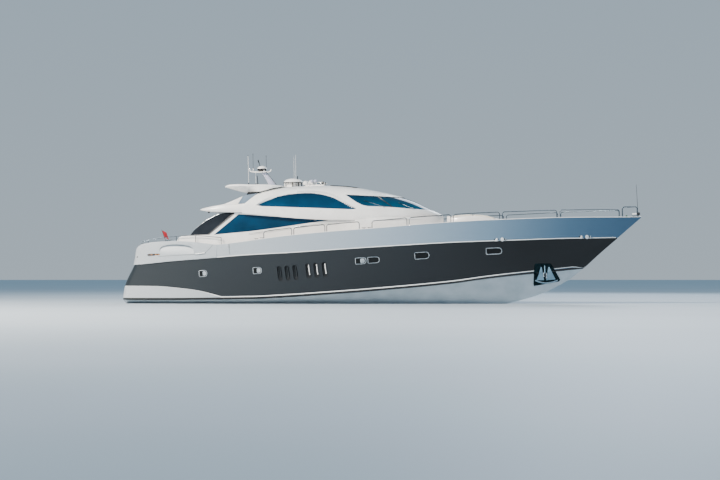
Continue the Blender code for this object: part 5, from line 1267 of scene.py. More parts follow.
def makeLowerHouse():
    outer, inner = -house["sideY"], -house["sideY"] + house["sideWall"] - 0.0004
    deckLine = [(x, at("deckZ", x) + 0.0004) for x in deckStations]
    top = [p for p in sideTopLine() if p[0] > -9.2]
    foot = [(x, lineAt(deckLine, x)) for x in [-1.42] + [s for s in deckStations if -9 < s < -1.5][::-1] + [-10.1]]
    outline = [(-10.80, 4.06), (-9.25, lineAt(sideTopLine(), -9.25))] + top + foot
    wall = prism("houseSideStarboard", outline, outer, inner)
    coaming = rounder([(-12.948, 3.62), (-12.8, 3.90), (-12.45, 4.03), (-12.06, 4.06)], 4)
    coaming += [(-10.35, 4.06), (-10.05, 3.35), (-10.05, 3.07), (-10.21, 3.07), (-10.21, house["soleZ"] + 0.0004),
                (-12.948, house["soleZ"] + 0.0004)]
    combine(wall, [rounded(prism("coaming", coaming, outer - 0.03, inner), 0.02, 3)], "UNION")
    window = sideWindow[:1] + rounder(sideWindow[1:5], 3) + rounder(sideWindow[5:], 3)
    combine(wall, [prism("window", window, -2.30, -2.48, outer=grown(window, 0.025))])
    bothSides(wall, "house_side", sharp=35)
    pane = onFlat("sideWindowStarboard", grown(window, 0.012), outer + 0.028, outer + 0.045, "glass")
    bothSides(pane, "side_window")
    curve = rounder([(-12.05, 4.0604), (-11.85, 4.32), (-11.39, 4.70), (-10.73, 5.10), (-10.08, 5.39), (-9.69, 5.46),
                     (-9.2, 5.455)], 5)
    screen = curve + [(-9.13, 5.40), (-10.86, 4.0604)]
    pane = onFlat("quarterScreenStarboard", screen, outer - 0.015, outer + 0.03, "smokeGlass")
    bothSides(pane, "quarter_screen")
    edge = [(x, outer - 0.002, z) for x, z in curve]
    bothSides(alongPaths("quarterScreenEdgeStarboard", "tube", [edge], "steel", Radius=0.02, Sides=8),
              sharp=60)
    pillar = [(x, outer - 0.012, z) for x, z in ((-10.84, 4.075), (-9.17, 5.38))]
    bothSides(alongPaths("pillarSealStarboard", "tube", [pillar], "trim", Radius=0.034, Sides=8))
    grab = []
    for aft, fore in ((-8.2, -5.6), (-5.2, -2.6)):
        line = [(x, outer - 0.07, lineAt(sideWindow[:4], x) - 0.16) for x in spread(aft, fore, 0.3)]
        line = [(aft, outer + 0.01, line[0][2])] + line + [(fore, outer + 0.01, line[-1][2])]
        grab.append(line)
    bothSides(alongPaths("sideHandrailsStarboard", "tube", grab, "steel", Radius=0.016, Sides=8),
              sharp=60)
    bracket = bmesh.new()
    bar(bracket, (-3.98, outer - 0.01, 4.84), (-3.84, outer - 0.03, 4.97), 0.03, 0.022, 10, 0)
    bar(bracket, (-3.84, outer - 0.01, 4.86), (-3.98, outer - 0.03, 4.90), 0.02, 0.02, 10, 0)
    bothSides(newObject("windowTipBracketStarboard", bracket, "steel"))


def onFlat(name, outline, near, far, mats):
    return rounded(prism(name, outline, near, far, mats), 0.004, 1, 40)


def houseFootY(x):
    return houseAt("lipY", x) + 0.10 + 0.5 * max(0.0, (x - 1) / 3)


def makeCoachroof():
    deckLine = [(x, at("deckZ", x) + 0.0004) for x in deckStations]
    rings = []
    for x in spread(-1.4, 3.4, 0.2) + [3.55, 3.7, 3.8, 3.88, 3.94, 3.979]:
        low, top, wide = lineAt(deckLine, x), houseAt("lipZ", x) - 0.001, houseAt("lipY", x)
        foot = houseFootY(x)
        half = rounder([(foot, low), (foot * 0.35 + wide * 0.65 + 0.01, low * 0.35 + top * 0.65), (wide + 0.02, top - 0.04),
                        (wide - 0.03, top)], 4) + [(wide * 0.5, top)]
        rings.append([(x, -y, z) for y, z in half] + [(x, y, z) for y, z in reversed(half)])
    made = newObject("coachroof", skin(rings, True, None, True), ("white", "trim", "hide"))
    combine(made, [block("helmSpace", (-2, -2.1, 3.0), (-0.4, 2.1, 5.5), ("white", "trim", "hide"))])
    rounded(made, 0.01, 2, 55)
    floor = lineAt(deckLine, -0.95)
    console = prism("console", [(-0.95, floor), (-0.95, 4.70), (-0.66, 4.975), (-0.3, 4.975), (-0.3, floor + 0.3),
                                (-0.45, floor + 0.3), (-0.45, floor + 0.1)], -1.9, -0.3, ("hide", "trim"))
    rounded(console, 0.03, 3)
    slope = Vector((0.29, 0, 0.275)).normalized()
    screens = []
    for y in (-0.75, -1.45):
        panel = block("panel", (-0.17, -0.24, -0.008), (0.17, 0.24, 0.012), "trim")
        turn = slope.to_track_quat("X", "Z").to_matrix().to_4x4()
        panel.data.transform(Matrix.Translation((-0.80, y, 4.845)) @ turn)
        screens.append(rounded(panel, 0.006, 2))
    slot = []
    for k in range(1):
        line = [(x, -(houseAt("lipY", x) + 0.055), houseAt("lipZ", x) - 0.16) for x in spread(-0.3, 3.0, 0.25)]
        slot.append(line)
    recess = alongPaths("longRecess", "tube", slot, "lineWhite", Radius=0.03, Sides=10)
    made = joined("coachroof", [made, console] + screens)
    finishPiece(made, "coachroof", sharp=32)
    recess.name = "coachroofHandrailStarboard"
    bothSides(recess, sharp=60)


lounge = {"shape": [(4.30, 4.98, 1.20), (4.85, 5.01, 1.45), (5.8, 5.05, 1.60), (6.4, 5.01, 1.58), (7.03, 4.89, 1.50),
                    (7.59, 4.74, 1.35), (7.95, 4.50, 1.15)], "padThick": 0.13}


def loungeAt(x, column):
    return smoothAt([(row[0], row[column]) for row in lounge["shape"]], x)


def makeLounge():
    rings = []
    for x in spread(4.30, 7.95, 0.18):
        low = lineAt([(s, at("deckZ", s)) for s in deckStations], x) + 0.0004
        inset = lounge["padThick"] if 4.5 < x < 7.3 else lounge["padThick"] * 0.35
        top, wide = max(low + 0.02, loungeAt(x, 1) - inset), loungeAt(x, 2)
        half = rounder([(wide + 0.10, low), (wide + 0.04, low * 0.4 + top * 0.6), (wide - 0.03, top - 0.02),
                        (wide - 0.12, top)], 4) + [(0.3, top + 0.004)]
        rings.append([(x, -y, z) for y, z in half] + [(x, y, z) for y, z in reversed(half)])
    made = newObject("foredeckLounge", skin(rings, True, None, True), "white")
    finishPiece(made, "foredeck_lounge", sharp=40)


# Pieces that keep their solid's form, with softened edges and finer finishes

def refined(node, width, mats, segments=3, angle=35, name=None):
    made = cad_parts[node].copy()
    made.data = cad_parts[node].data.copy()
    made.name = name or node.replace("_", "-") + "-finished"
    bpy.context.scene.collection.objects.link(made)
    made.data.materials.clear()
    for mat in ([mats] if isinstance(mats, str) else mats):
        made.data.materials.append(finishes[mat])
    for face in made.data.polygons:
        face.material_index = 0
    if width:
        rounded(made, width, segments, angle)
    return made


def painted(made, index, test):  # gives the faces whose centre and normal pass a test another finish
    for face in made.data.polygons:
        if test(face.center, face.normal):
            face.material_index = index
    return made


# Stern: platform, two stairs and the base of the sunpad, with laid teak where feet go

stern = {"platformTop": 0.80, "teakThick": 0.008, "stairX": -14.69, "stairRun": 0.245, "stairRise": 0.30,
         "stairIn": 1.66, "stairOut": 2.42}


def makeStern():
    made = refined("stern_moulding", 0.012, ("deckWhite", "trim", "lens"), 2)
    top, thick = stern["platformTop"], stern["teakThick"]
    plan = rounder([(-16.34, -2.02), (-16.24, -2.24), (-16.0, -2.38), (-15.4, -2.42), (-14.78, -2.42)], 4)
    plan += [(x, -y) for x, y in reversed(plan)]
    boards = [rounded(prism("boards", plan, top - 0.004, top + thick, "teak", "Z"), 0.003, 1)]
    steps = 7
    for side in (-1, 1):
        for k in range(steps):
            x, z = stern["stairX"] + stern["stairRun"] * k, top + stern["stairRise"] * (k + 1)
            tread = block("tread", (x + 0.02, side * stern["stairIn"], z - 0.004),
                          (x + stern["stairRun"] - 0.01, side * stern["stairOut"], z + thick), "teak")
            boards.append(rounded(tread, 0.003, 1))
    finishPiece(joined("sternTeak", boards))
    bm = bmesh.new()
    for side in (-1, 1):
        for k in range(0, steps, 2):
            x, z = stern["stairX"] + stern["stairRun"] * k, top + stern["stairRise"] * (k + 0.6)
            lathe(bm, [(0, 0.008), (0.028, 0.006), (0.034, 0.0), (0, 0.0)], (x - 0.002, side * 2.0, z), 14,
                  Matrix.Rotation(-math.pi / 2, 4, "Y"), 2)
    fittings = newObject("stepLights", bm, ("deckWhite", "trim", "lens"))
    finishPiece(joined("sternMoulding", [made, fittings]), "stern_moulding", sharp=32)
    edge = [(x, y, top - 0.06) for x, y in rounder([(-14.9, -2.475), (-16.05, -2.465), (-16.30, -2.31),
                                                   (-16.425, -2.1), (-16.425, 0), (-16.425, 2.1), (-16.30, 2.31),
                                                   (-16.05, 2.465), (-14.9, 2.475)], 5)]
    finishPiece(alongPaths("platformFender", "tube", [edge], "rubber", Radius=0.028, Sides=10), sharp=60)
    rails = []
    for side in (-1, 1):
        for y in (1.66, 2.44):
            rails.append([(-14.55, side * y, 0.95), (-14.55, side * y, 1.75), (-14.35, side * y, 2.0),
                          (-13.1, side * y, 3.45), (-12.98, side * y, 3.48), (-12.96, side * y, 3.3)])
    rails = [rounder(line, 5) for line in rails[:1] + rails[2:3]]
    finishPiece(alongPaths("sternHandrails", "tube", rails, "steel", Radius=0.018, Sides=10),
                sharp=60)


def makeGarageDoor():
    made = refined("garage_door", 0.01, ("silver", "trim", "steel"), 2)
    hinge = Vector((-14.38, 0, 2.49))
    parts = [made]
    for y in (-1.1, 0.0, 1.1):
        arm = bmesh.new()
        bar(arm, (hinge.x, y - 0.09, hinge.z), (hinge.x, y + 0.09, hinge.z), 0.032, None, 18, 2)
        parts.append(newObject("knuckle", arm, ("silver", "trim", "steel")))
    for low, high in ((0.98, 0.994), (2.30, 2.314)):
        x0, x1 = [-14.62 + (z - 0.82) * 0.1204 for z in (low, high)]
        seam = prism("seam", [(x0 - 0.004, low), (x1 - 0.004, high), (x1 + 0.01, high), (x0 + 0.01, low)], -1.5, 1.5,
                     ("silver", "trim", "steel"), slotIndex=1)
        parts.append(seam)
    grip = bmesh.new()
    for y in (-0.35, 0.35):
        bar(grip, (-14.60, y, 1.1), (-14.66, y, 1.12), 0.012, None, 10, 2)
    bar(grip, (-14.655, -0.38, 1.12), (-14.655, 0.38, 1.12), 0.014, None, 10, 2)
    parts.append(newObject("grip", grip, ("silver", "trim", "steel")))
    finishPiece(joined("garageDoor", parts), "garage_door", "garage_door")


# Cushions

def pad(name, size, place, crown=0.04, radius=0.045, seams=(), mats="cream", stands=(), body=hullBody,
        along="X", bend=None, piped=True):
    # a sewn cushion centred on zero and crowned along +Z, then put in place by a matrix
    half = [s / 2 for s in size]
    count = [max(6, round(size[0] / 0.035)), max(6, round(size[1] / 0.035)), 5]
    count[:2] = [min(44, c) for c in count[:2]]
    bm = bmesh.new()
    corners = {}

    def spot(a, b, c):
        key = (a, b, c)
        if key not in corners:
            u, v, w = [2 * k / n - 1 for k, n in zip(key, count)]
            p = Vector((u * half[0], v * half[1], w * half[2]))
            core = Vector([max(-h + radius, min(h - radius, q)) for h, q in zip(half, p)])
            out = p - core
            if out.length > 1e-9:
                p = core + out.normalized() * radius * min(1.0, max(abs(o) for o in out) / radius)
            p.x -= math.copysign(1, u) * abs(u) ** 3 * 0.012 * (1 - v * v)
            p.y -= math.copysign(1, v) * abs(v) ** 3 * 0.012 * (1 - u * u)
            if w > 0:
                p.z += crown * (w * (1 - u ** 4) * (1 - v ** 4) - w)
                for seam in seams:
                    away = (u if along == "X" else v) - seam
                    p.z -= 0.016 * w * math.exp(-(away * half[0 if along == "X" else 1] / 0.014) ** 2)
            corners[key] = bm.verts.new(p)
        return corners[key]

    for axis in range(3):
        a, b = [k for k in range(3) if k != axis]
        for level in (0, count[axis]):
            for i in range(count[a]):
                for j in range(count[b]):
                    quad = []
                    for di, dj in ((0, 0), (1, 0), (1, 1), (0, 1)):
                        key = [0, 0, 0]
                        key[axis], key[a], key[b] = level, i + di, j + dj
                        quad.append(spot(*key))
                    bm.faces.new(quad)
    made = newObject(name, bm, [mats] if isinstance(mats, str) else mats)
    if piped:
        x, y, z = half[0] - radius * 0.3, half[1] - radius * 0.3, half[2] - crown - radius * 0.12
        loop = [(a, b, z) for a, b in pill(2 * x, 2 * y, 6)] if min(x, y) < 0.05 else []
        r = radius
        for cx, cy, start in ((x - r, y - r, 0), (r - x, y - r, 90), (r - x, r - y, 180), (x - r, r - y, 270)):
            for k in range(5):
                angle = math.radians(start + 22.5 * k)
                loop.append((cx + r * math.cos(angle), cy + r * math.sin(angle), z))
        line = alongPaths("piping", "tube", [loop + loop[:1]], "piping", Radius=0.007, Sides=6)
        made = joined(name, [made, line])
    made.data.transform(place)
    if bend:
        for vert in made.data.vertices:
            vert.co = bend(vert.co)
        made.data.update()
    finishPiece(made, stands, body, sharp=55)
    return made


def standing(at, lean=0.0, turn=0.0):  # where a back cushion stands: its crown faces forward, leaning back
    return (Matrix.Translation(at) @ Matrix.Rotation(math.radians(turn), 4, "Z")
            @ Matrix.Rotation(math.radians(90 - lean), 4, "Y"))


def makeCockpitSeats():
    for k, y in enumerate((-0.99, 0.0, 0.99)):
        pad("aftSunpad%d" % (k + 1), (0.85, 0.97, 0.165), Matrix.Translation((-13.42, y, 3.064)), 0.03, 0.05,
            (-0.33, 0.33), stands="aft_sunpad" if k == 1 else ())
    base = prism("cockpitSofaBase", [(-12.9, 2.9004), (-12.94, 3.58), (-12.90, 3.60), (-12.86, 3.58), (-12.80, 3.16),
                                     (-12.17, 3.16), (-12.24, 2.9004)], -1.70, 1.70, ("white", "teak"))
    finishPiece(rounded(base, 0.025, 3), "cockpit_sofa")
    for k in range(4):
        y = -1.275 + 0.85 * k
        pad("cockpitSeat%d" % (k + 1), (0.62, 0.835, 0.17), Matrix.Translation((-12.475, y, 3.245)), 0.03, 0.045,
            (0.0,), along="Y")
        pad("cockpitBack%d" % (k + 1), (0.31, 0.835, 0.13), standing((-12.77, y, 3.46), 10), 0.02, 0.04, (0.0,),
            along="Y")


def makeHelm():
    mats = ("hide", "steel", "trim")
    for k, y in enumerate((-1.43, -0.77)):
        name = "helmSeat%d" % (k + 1)
        pad(name + "Cushion", (0.50, 0.58, 0.20), Matrix.Translation((-1.87, y, 4.32)), 0.03, 0.06, (-0.4, 0.4),
            "hide", along="Y")
        pad(name + "Back", (0.72, 0.56, 0.15), standing((-2.29, y, 4.76), 7), 0.03, 0.06, (-0.35, 0.05, 0.45), "hide",
            along="X")
        pad(name + "Bolster", (0.09, 0.50, 0.14), Matrix.Translation((-1.66, y, 4.40)), 0.01, 0.04, (), "hide",
            piped=False)
    bm = bmesh.new()
    for y in (-1.43, -0.77):
        lathe(bm, [(0, 0.03), (0.19, 0.025), (0.20, 0.0), (0.07, 0.03), (0.06, 0.06), (0.06, 0.55), (0.16, 0.58),
                   (0.16, 0.61), (0, 0.61)], (-1.93, y, 3.605), 28, None, 1)
        for side in (-0.3, 0.3):
            bar(bm, (-2.25, y + side, 4.50), (-1.80, y + side, 4.56), 0.025, 0.022, 12, 2)
    finishPiece(newObject("helmSeatPedestals", bm, mats), "helm_seat")
    centre, tilt = Vector((-0.929, -1.10, 4.968)), math.radians(46.5)
    axis = Vector((math.cos(tilt), 0, -math.sin(tilt)))
    turn = axis.to_track_quat("Z", "Y").to_matrix().to_4x4()
    rim = [tuple(Matrix.Translation(centre) @ turn @ Vector((0.20 * math.cos(a), 0.20 * math.sin(a), 0)))
           for a in [2 * math.pi * k / 48 for k in range(49)]]
    rim = alongPaths("rim", "tube", [rim], "hide", Radius=0.018, Sides=14)
    hub = bmesh.new()
    lathe(hub, [(0, -0.03), (0.04, -0.028), (0.055, -0.01), (0.05, 0.02), (0.03, 0.05), (0.03, 0.179), (0, 0.179)],
          centre, 28, turn, 1)
    for angle in (90, 210.6, 329.4):
        out = turn @ Vector((math.cos(math.radians(angle)), math.sin(math.radians(angle)), 0))
        bar(hub, centre + out * 0.03, centre + out * 0.195, 0.016, 0.010, 12, 1)
    made = joined("steeringWheel", [rim, newObject("hub", hub, mats)])
    finishPiece(made, "steering_wheel", "steering_wheel")


def makeSaloon():
    floor = refined("saloon_interior", 0, ("wood", "trim"))
    combine(floor, [block("floorOnly", (-12, -4, 0), (0, 4, 2.8999), "wood")], "INTERSECT")
    table = rounded(block("table", (-7.9, -0.55, 3.30), (-6.7, 0.55, 3.36), "wood"), 0.02, 3)
    leg = bmesh.new()
    for x in (-7.55, -7.05):
        lathe(leg, [(0, 0.41), (0.09, 0.405), (0.035, 0.36), (0.035, 0.04), (0.14, 0.02), (0.15, 0.0), (0, 0.0)],
              (x, 0, 2.8999), 24, None, 0)
    made = joined("saloonFloor", [floor, table, newObject("leg", leg, "steel")])
    finishPiece(made, "saloon_interior")
    for side in (-1, 1):
        low, high = sorted((side * 1.47, side * 2.30))
        base = rounded(block("saloonSofaBase" + ("Starboard" if side < 0 else "Port"), (-8.6, low, 2.9),
                             (-6.0, high, 3.14), "wood"), 0.02, 3)
        finishPiece(base)
        for k in range(3):
            x = -8.17 + 0.865 * k
            name = "saloonSofa%s%d" % ("Starboard" if side < 0 else "Port", k + 1)
            pad(name + "Seat", (0.85, 0.62, 0.20), Matrix.Translation((x, side * 1.77, 3.24)), 0.03, 0.05, (), "hide")
            pad(name + "Back", (0.40, 0.84, 0.17), standing((x, side * 2.19, 3.54), 6, 90 * -side), 0.02, 0.05, (),
                "hide")


def makeAftWall():
    wall = refined("saloon_aft_wall", 0.008, ("white", "trim", "steel"), 2)
    finishPiece(wall, "saloon_aft_wall")
    x0, x1, y0, y1, z0, z1 = -9.646, -9.606, 0.003, 1.18, 2.912, 5.10
    edge = 0.055
    outer = block("saloonDoorStarboard", (x0, -y1, z0), (x1, -y0, z1), ("steel", "glass", "trim"))
    combine(outer, [block("hole", (x0 - 0.1, -y1 + edge, z0 + edge * 1.6), (x1 + 0.1, -y0 - edge, z1 - edge),
                          ("steel", "glass", "trim"))])
    rounded(outer, 0.005, 2)
    pane = block("pane", (-9.632, -y1 + edge - 0.01, z0 + edge * 1.6 - 0.01), (-9.620, -y0 - edge + 0.01,
                                                                            z1 - edge + 0.01), "glass")
    runner = block("runner", (-9.632, -1.15, 5.08), (-9.620, -0.05, 5.1055), "trim")
    pull = bmesh.new()
    bar(pull, (x0 - 0.03, -0.06, 3.75), (x0 - 0.03, -0.06, 4.25), 0.011, None, 12)
    for z in (3.78, 4.22):
        bar(pull, (x0 + 0.005, -0.06, z), (x0 - 0.03, -0.06, z), 0.009, None, 10)
    made = joined("saloonDoorStarboard", [outer, pane, runner, newObject("pull", pull, "steel")])
    bothSides(made, "saloon_door", ("saloon_door_starboard", "saloon_door_port"))


def makeCockpit():
    sole = refined("cockpit_sole", 0, ("deckWhite", "teak"))
    painted(sole, 1, lambda c, n: n.z > 0.9)
    finishPiece(sole, "cockpit_sole")
    top = rounded(prism("top", rounder([(-11.6, -0.60), (-11.57, -0.71), (-11.46, -0.75)], 3) + rounder(
        [(-11.04, -0.75), (-10.93, -0.71), (-10.9, -0.60)], 3) + rounder([(-10.9, 0.60), (-10.93, 0.71), (-11.04, 0.75)], 3)
        + rounder([(-11.46, 0.75), (-11.57, 0.71), (-11.6, 0.60)], 3), 3.585, 3.63, ("teak", "steel"), "Z"), 0.01, 3)
    leg = bmesh.new()
    for y in (-0.2, 0.2):
        lathe(leg, [(0, 0.69), (0.10, 0.685), (0.10, 0.67), (0.035, 0.63), (0.035, 0.06), (0.13, 0.02), (0.14, 0.0),
                    (0, 0.0)], (-11.25, y, 2.9004), 24, None, 1)
    finishPiece(joined("cockpitTable", [top, newObject("legs", leg, ("teak", "steel"))]), "cockpit_table")


# Foredeck

def makeLoungePads():
    for side in (-1, 1):
        for k, (aft, fore) in enumerate(((4.62, 5.94), (5.97, 7.28))):
            middle, width = (aft + fore) / 2, 1.30 if k == 0 else 1.27
            thick = lounge["padThick"] + 0.02

            def bend(co, thick=thick):
                shrink = (loungeAt(co.x, 2) - 0.10) / 1.50
                return Vector((co.x, co.y * min(1.0, shrink), co.z + loungeAt(co.x, 1) - lounge["padThick"] / 2 - 0.01))

            pad("foredeckPad%s%d" % ("Starboard" if side < 0 else "Port", k + 1), (fore - aft, width, thick),
                Matrix.Translation((middle, side * (width / 2 + 0.02), 0)), 0.035, 0.05, (-0.5, 0.0, 0.5), bend=bend)


def makeHatches():
    for number, x in ((1, 8.9), (2, 10.7)):
        low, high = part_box("deck_hatch_%d" % number)
        z = high[2] if False else low[2]
        plate = refined("deck_hatch_%d" % number, 0.012, ("screenGlass", "steel", "rubber"), 3,
                        name="deckHatch%dLid" % number)
        rim = block("rim", (x - 0.345, -0.345, z + 0.004), (x + 0.345, 0.345, z + 0.026), ("screenGlass", "steel"), 1)
        combine(rim, [block("hole", (x - 0.30, -0.30, z - 0.1), (x + 0.30, 0.30, z + 0.2), ("screenGlass", "steel"))])
        handle = bmesh.new()
        for y in (-0.2, 0.2):
            bar(handle, (x + 0.27, y, high[2] - 0.005), (x + 0.27, y, high[2] + 0.012), 0.016, None, 14, 1)
        made = joined("deckHatch%d" % number, [plate, rounded(rim, 0.006, 2),
                                               newObject("handle", handle, ("screenGlass", "steel"))])
        finishPiece(made, "deck_hatch_%d" % number, "deck_hatch_%d" % number)


def deckTop(x):
    return lineAt([(s, at("deckZ", s)) for s in deckStations], x)


def cleat(bm, x, y, z, turn=0.0, size=1.0, matIndex=0):
    # a horned mooring cleat: two feet and a long bar with raised ends
    along = Vector((math.cos(turn), math.sin(turn), 0))
    centre = Vector((x, y, z))
    for k in (-1, 1):
        foot = centre + along * 0.06 * k * size
        lathe(bm, [(0, 0.07 * size), (0.018 * size, 0.065 * size), (0.02 * size, 0.01), (0.035 * size, 0.0), (0, 0.0)],
              foot, 12, None, matIndex)
        bar(bm, foot + Vector((0, 0, 0.06 * size)), centre + along * 0.17 * k * size + Vector((0, 0, 0.085 * size)),
            0.018 * size, 0.009 * size, 10, matIndex)
    bar(bm, centre - along * 0.06 * size + Vector((0, 0, 0.06 * size)),
        centre + along * 0.06 * size + Vector((0, 0, 0.06 * size)), 0.018 * size, None, 10, matIndex)


# Rope leads in the topsides: trios of bright rollers on the knuckle, and a winged one at the quarter
leadTrios = [7.62, 12.86]


def makeBowGear():
    z = deckTop(12.2)
    bm = bmesh.new()
    mats = ("steel", "trim", "white")
    for y in (-0.28, 0.28):
        lathe(bm, [(0, 0.26), (0.05, 0.25), (0.07, 0.22), (0.055, 0.19), (0.055, 0.13), (0.10, 0.10), (0.13, 0.06),
                   (0.15, 0.0), (0, 0.0)], (12.22, y, z), 28)
        bar(bm, (12.30, y, z + 0.10), (12.95, y * 0.6, z + 0.03), 0.02, None, 10, 0)
    lid = rounded(block("lid", (12.0, -0.5, z - 0.02), (12.45, 0.5, z + 0.02), mats, 2), 0.015, 3)
    finishPiece(joined("windlassPair", [newObject("drums", bm, mats), lid]), "windlass")
    bm = bmesh.new()
    for x, inner in ((13.4, 0.45), (9.6, 1.6), (6.3, 2.35), (1.7, 2.75), (-7.4, 2.88)):
        for side in (-1, 1):
            cleat(bm, x, side * min(inner, railInner(x) - 0.22), deckTop(x) + 0.002, 0.0, 1.2)
    finishPiece(newObject("deckCleats", bm, "steel"))
    parts = []
    for x in leadTrios:
        z = at("knuckleZ", x) + 0.055
        shapes = [("lineWhite", [(-0.30, -0.07), (-0.10, -0.09), (-0.08, 0.02), (-0.12, 0.12), (-0.17, 0.10)], 0.07),
                  ("silver", [(-0.04, -0.06), (0.12, -0.06), (0.12, 0.10), (-0.04, 0.10)], 0.05),
                  ("lineWhite", [(0.20 + a, 0.02 + b) for a, b in pill(0.20, 0.24, 5)], 0.08),
                  ("steel", [(0.38, -0.05), (0.44, -0.05), (0.44, 0.09), (0.38, 0.09)], 0.05)]
        for finish, outline, out in shapes:
            near = [bothAt(x + a, z + b) for a, b in outline]
            bm = bmesh.new()
            inner = [bm.verts.new((px, py + 0.06, pz)) for px, py, pz in near]
            outer = [bm.verts.new((px, py - out, pz)) for px, py, pz in near]
            bm.faces.new(inner)
            bm.faces.new(outer)
            for i in range(len(near)):
                j = (i + 1) % len(near)
                bm.faces.new((inner[i], inner[j], outer[j], outer[i]))
            parts.append(rounded(newObject("lead", bm, finish), 0.018, 3, 30))
        # a dark rubber plate behind the leads stands for painted shade in the gaps between them
        plate = [bothAt(x + 0.07 + a, z + b) for a, b in pill(0.78, 0.15, 5)]
        bm = bmesh.new()
        inner = [bm.verts.new((px, py + 0.05, pz)) for px, py, pz in plate]
        outer = [bm.verts.new((px, py - 0.012, pz)) for px, py, pz in plate]
        bm.faces.new(inner)
        bm.faces.new(outer)
        for i in range(len(plate)):
            j = (i + 1) % len(plate)
            bm.faces.new((inner[i], inner[j], outer[j], outer[i]))
        parts.append(newObject("gapShadePlate", bm, "rubber"))
    bothSides(joined("bowLeadsStarboard", parts))


def bothAt(x, z):  # a point on the silver band's outer face, starboard
    return x, -topsideY(x, z), z


def railInner(x):
    return -railY(x) - 0.07


def hullPatch(outline, near, far, mats, slotIndex=0):
    # a plate in any outline that follows the hull side between two distances out from it, starboard
    xs, zs = [p[0] for p in outline], [p[1] for p in outline]
    across, up = spread(min(xs) - 0.03, max(xs) + 0.03, 0.07), spread(min(zs) - 0.03, max(zs) + 0.03, 0.07)
    rings = [[(x, -(hullSideY(x, z) + near), z) for z in up] + [(x, -(hullSideY(x, z) + far), z) for z in reversed(up)]
             for x in across]
    made = newObject("hullPatch", skin(rings, True, None, True), mats)
    for face in made.data.polygons:
        face.material_index = slotIndex
    return combine(made, [prism("outline", outline, -4, 0, mats, slotIndex=slotIndex)], "INTERSECT")


anchorPlace = {"plate": [(9.70, 0.46), (9.66, 0.56), (9.76, 1.75), (9.82, 1.83), (10.72, 1.83), (10.80, 1.76),
                         (11.30, 0.82), (11.24, 0.72)],
               "flukes": [[(9.84, 0.80), (10.02, 1.25), (10.14, 1.64), (10.20, 1.60), (10.25, 1.20), (10.31, 0.80)],
                          [(11.03, 0.84), (10.84, 1.25), (10.66, 1.64), (10.60, 1.60), (10.53, 1.20), (10.45, 0.80)]],
               "crown": [(9.78, 0.80), (10.0, 0.70), (10.38, 0.62), (10.8, 0.66), (11.16, 0.78)]}


def makeAnchor():
    mats = ("darkSteel", "paleSteel", "steel")
    plate = anchorPlace["plate"]
    parts = [hullPatch(plate, -0.02, 0.022, mats)]
    rim = [(x, -(hullSideY(x, z) + 0.022), z) for x, z in plate + plate[:1]]
    dense = []
    for a, b in zip(plate, plate[1:] + plate[:1]):
        count = max(1, round((Vector(b) - Vector(a)).length / 0.1))
        dense += [(a[0] + (b[0] - a[0]) * k / count, a[1] + (b[1] - a[1]) * k / count) for k in range(count)]
    rim = [(x, -(hullSideY(x, z) + 0.016), z) for x, z in dense + dense[:1]]
    parts.append(alongPaths("rim", "tube", [rim], "darkSteel", Radius=0.022, Sides=8))
    for shape in anchorPlace["flukes"]:
        parts.append(rounded(hullPatch(shape, 0.0, 0.085, mats, 1), 0.02, 2, 40))
    crown = [(x, -(hullSideY(x, z) + 0.055), z) for x, z in rounder(anchorPlace["crown"], 4)]
    parts.append(alongPaths("crown", "tube", [crown], "paleSteel", Radius=0.045, Sides=12))
    lip = [(x + 0.01, y - 0.045, z + 0.02) for x, y, z in crown]
    parts.append(alongPaths("lip", "tube", [lip], "steel", Radius=0.014, Sides=8))
    bm = bmesh.new()
    for x, low, high in ((10.30, 1.02, 1.30), (10.46, 0.90, 1.34)):
        y = -(hullSideY(x, (low + high) / 2) + 0.09)
        bar(bm, (x, y, low), (x, y, high), 0.040, 0.036, 12, 2)
    y = -(hullSideY(10.38, 1.5) + 0.06)
    bar(bm, (10.38, y, 1.25), (10.38, y + 0.0, 1.72), 0.032, 0.032, 12, 1)
    parts.append(newObject("shank", bm, mats))
    bothSides(joined("anchorStarboard", parts), "anchor", sharp=30)


def makeBowStaff():
    foot = at("sheerZ", 16.28) + rail["capHeight"]
    bm = bmesh.new()
    mats = ("trim", "steel", "lens", "redLens", "greenLens")
    bar(bm, (16.28, 0, foot + 0.0012), (16.20, 0, 6.75), 0.016, 0.009, 12, 0)
    lathe(bm, [(0, 0.05), (0.03, 0.045), (0.05, 0.0), (0, 0.0)], (16.28, 0, foot), 18, None, 1)
    bar(bm, (16.29, 0, foot), (16.29, 0, foot + 0.12), 0.03, None, 12, 0)
    box = [rounded(block("lampBox", (16.18, -0.09, foot + 0.10), (16.40, 0.09, foot + 0.27), mats, 0), 0.015, 2),
           rounded(block("bracket", (15.92, -0.05, foot + 0.13), (16.20, 0.05, foot + 0.22),
                         ("trim", "steel", "lineWhite"), 2), 0.012, 2)]
    for side, tint in ((-1, 4), (1, 3)):
        lathe(bm, [(0, 0.10), (0.045, 0.095), (0.05, 0.01), (0, 0.0)],
              (15.55, side * (0.16 + at("sheerY", 15.55) * 0.4), at("sheerZ", 15.55) + 0.04), 18, None, tint)
    finishPiece(joined("bowStaff", [newObject("staff", bm, mats)] + box), "jackstaff")


# Roof and mast

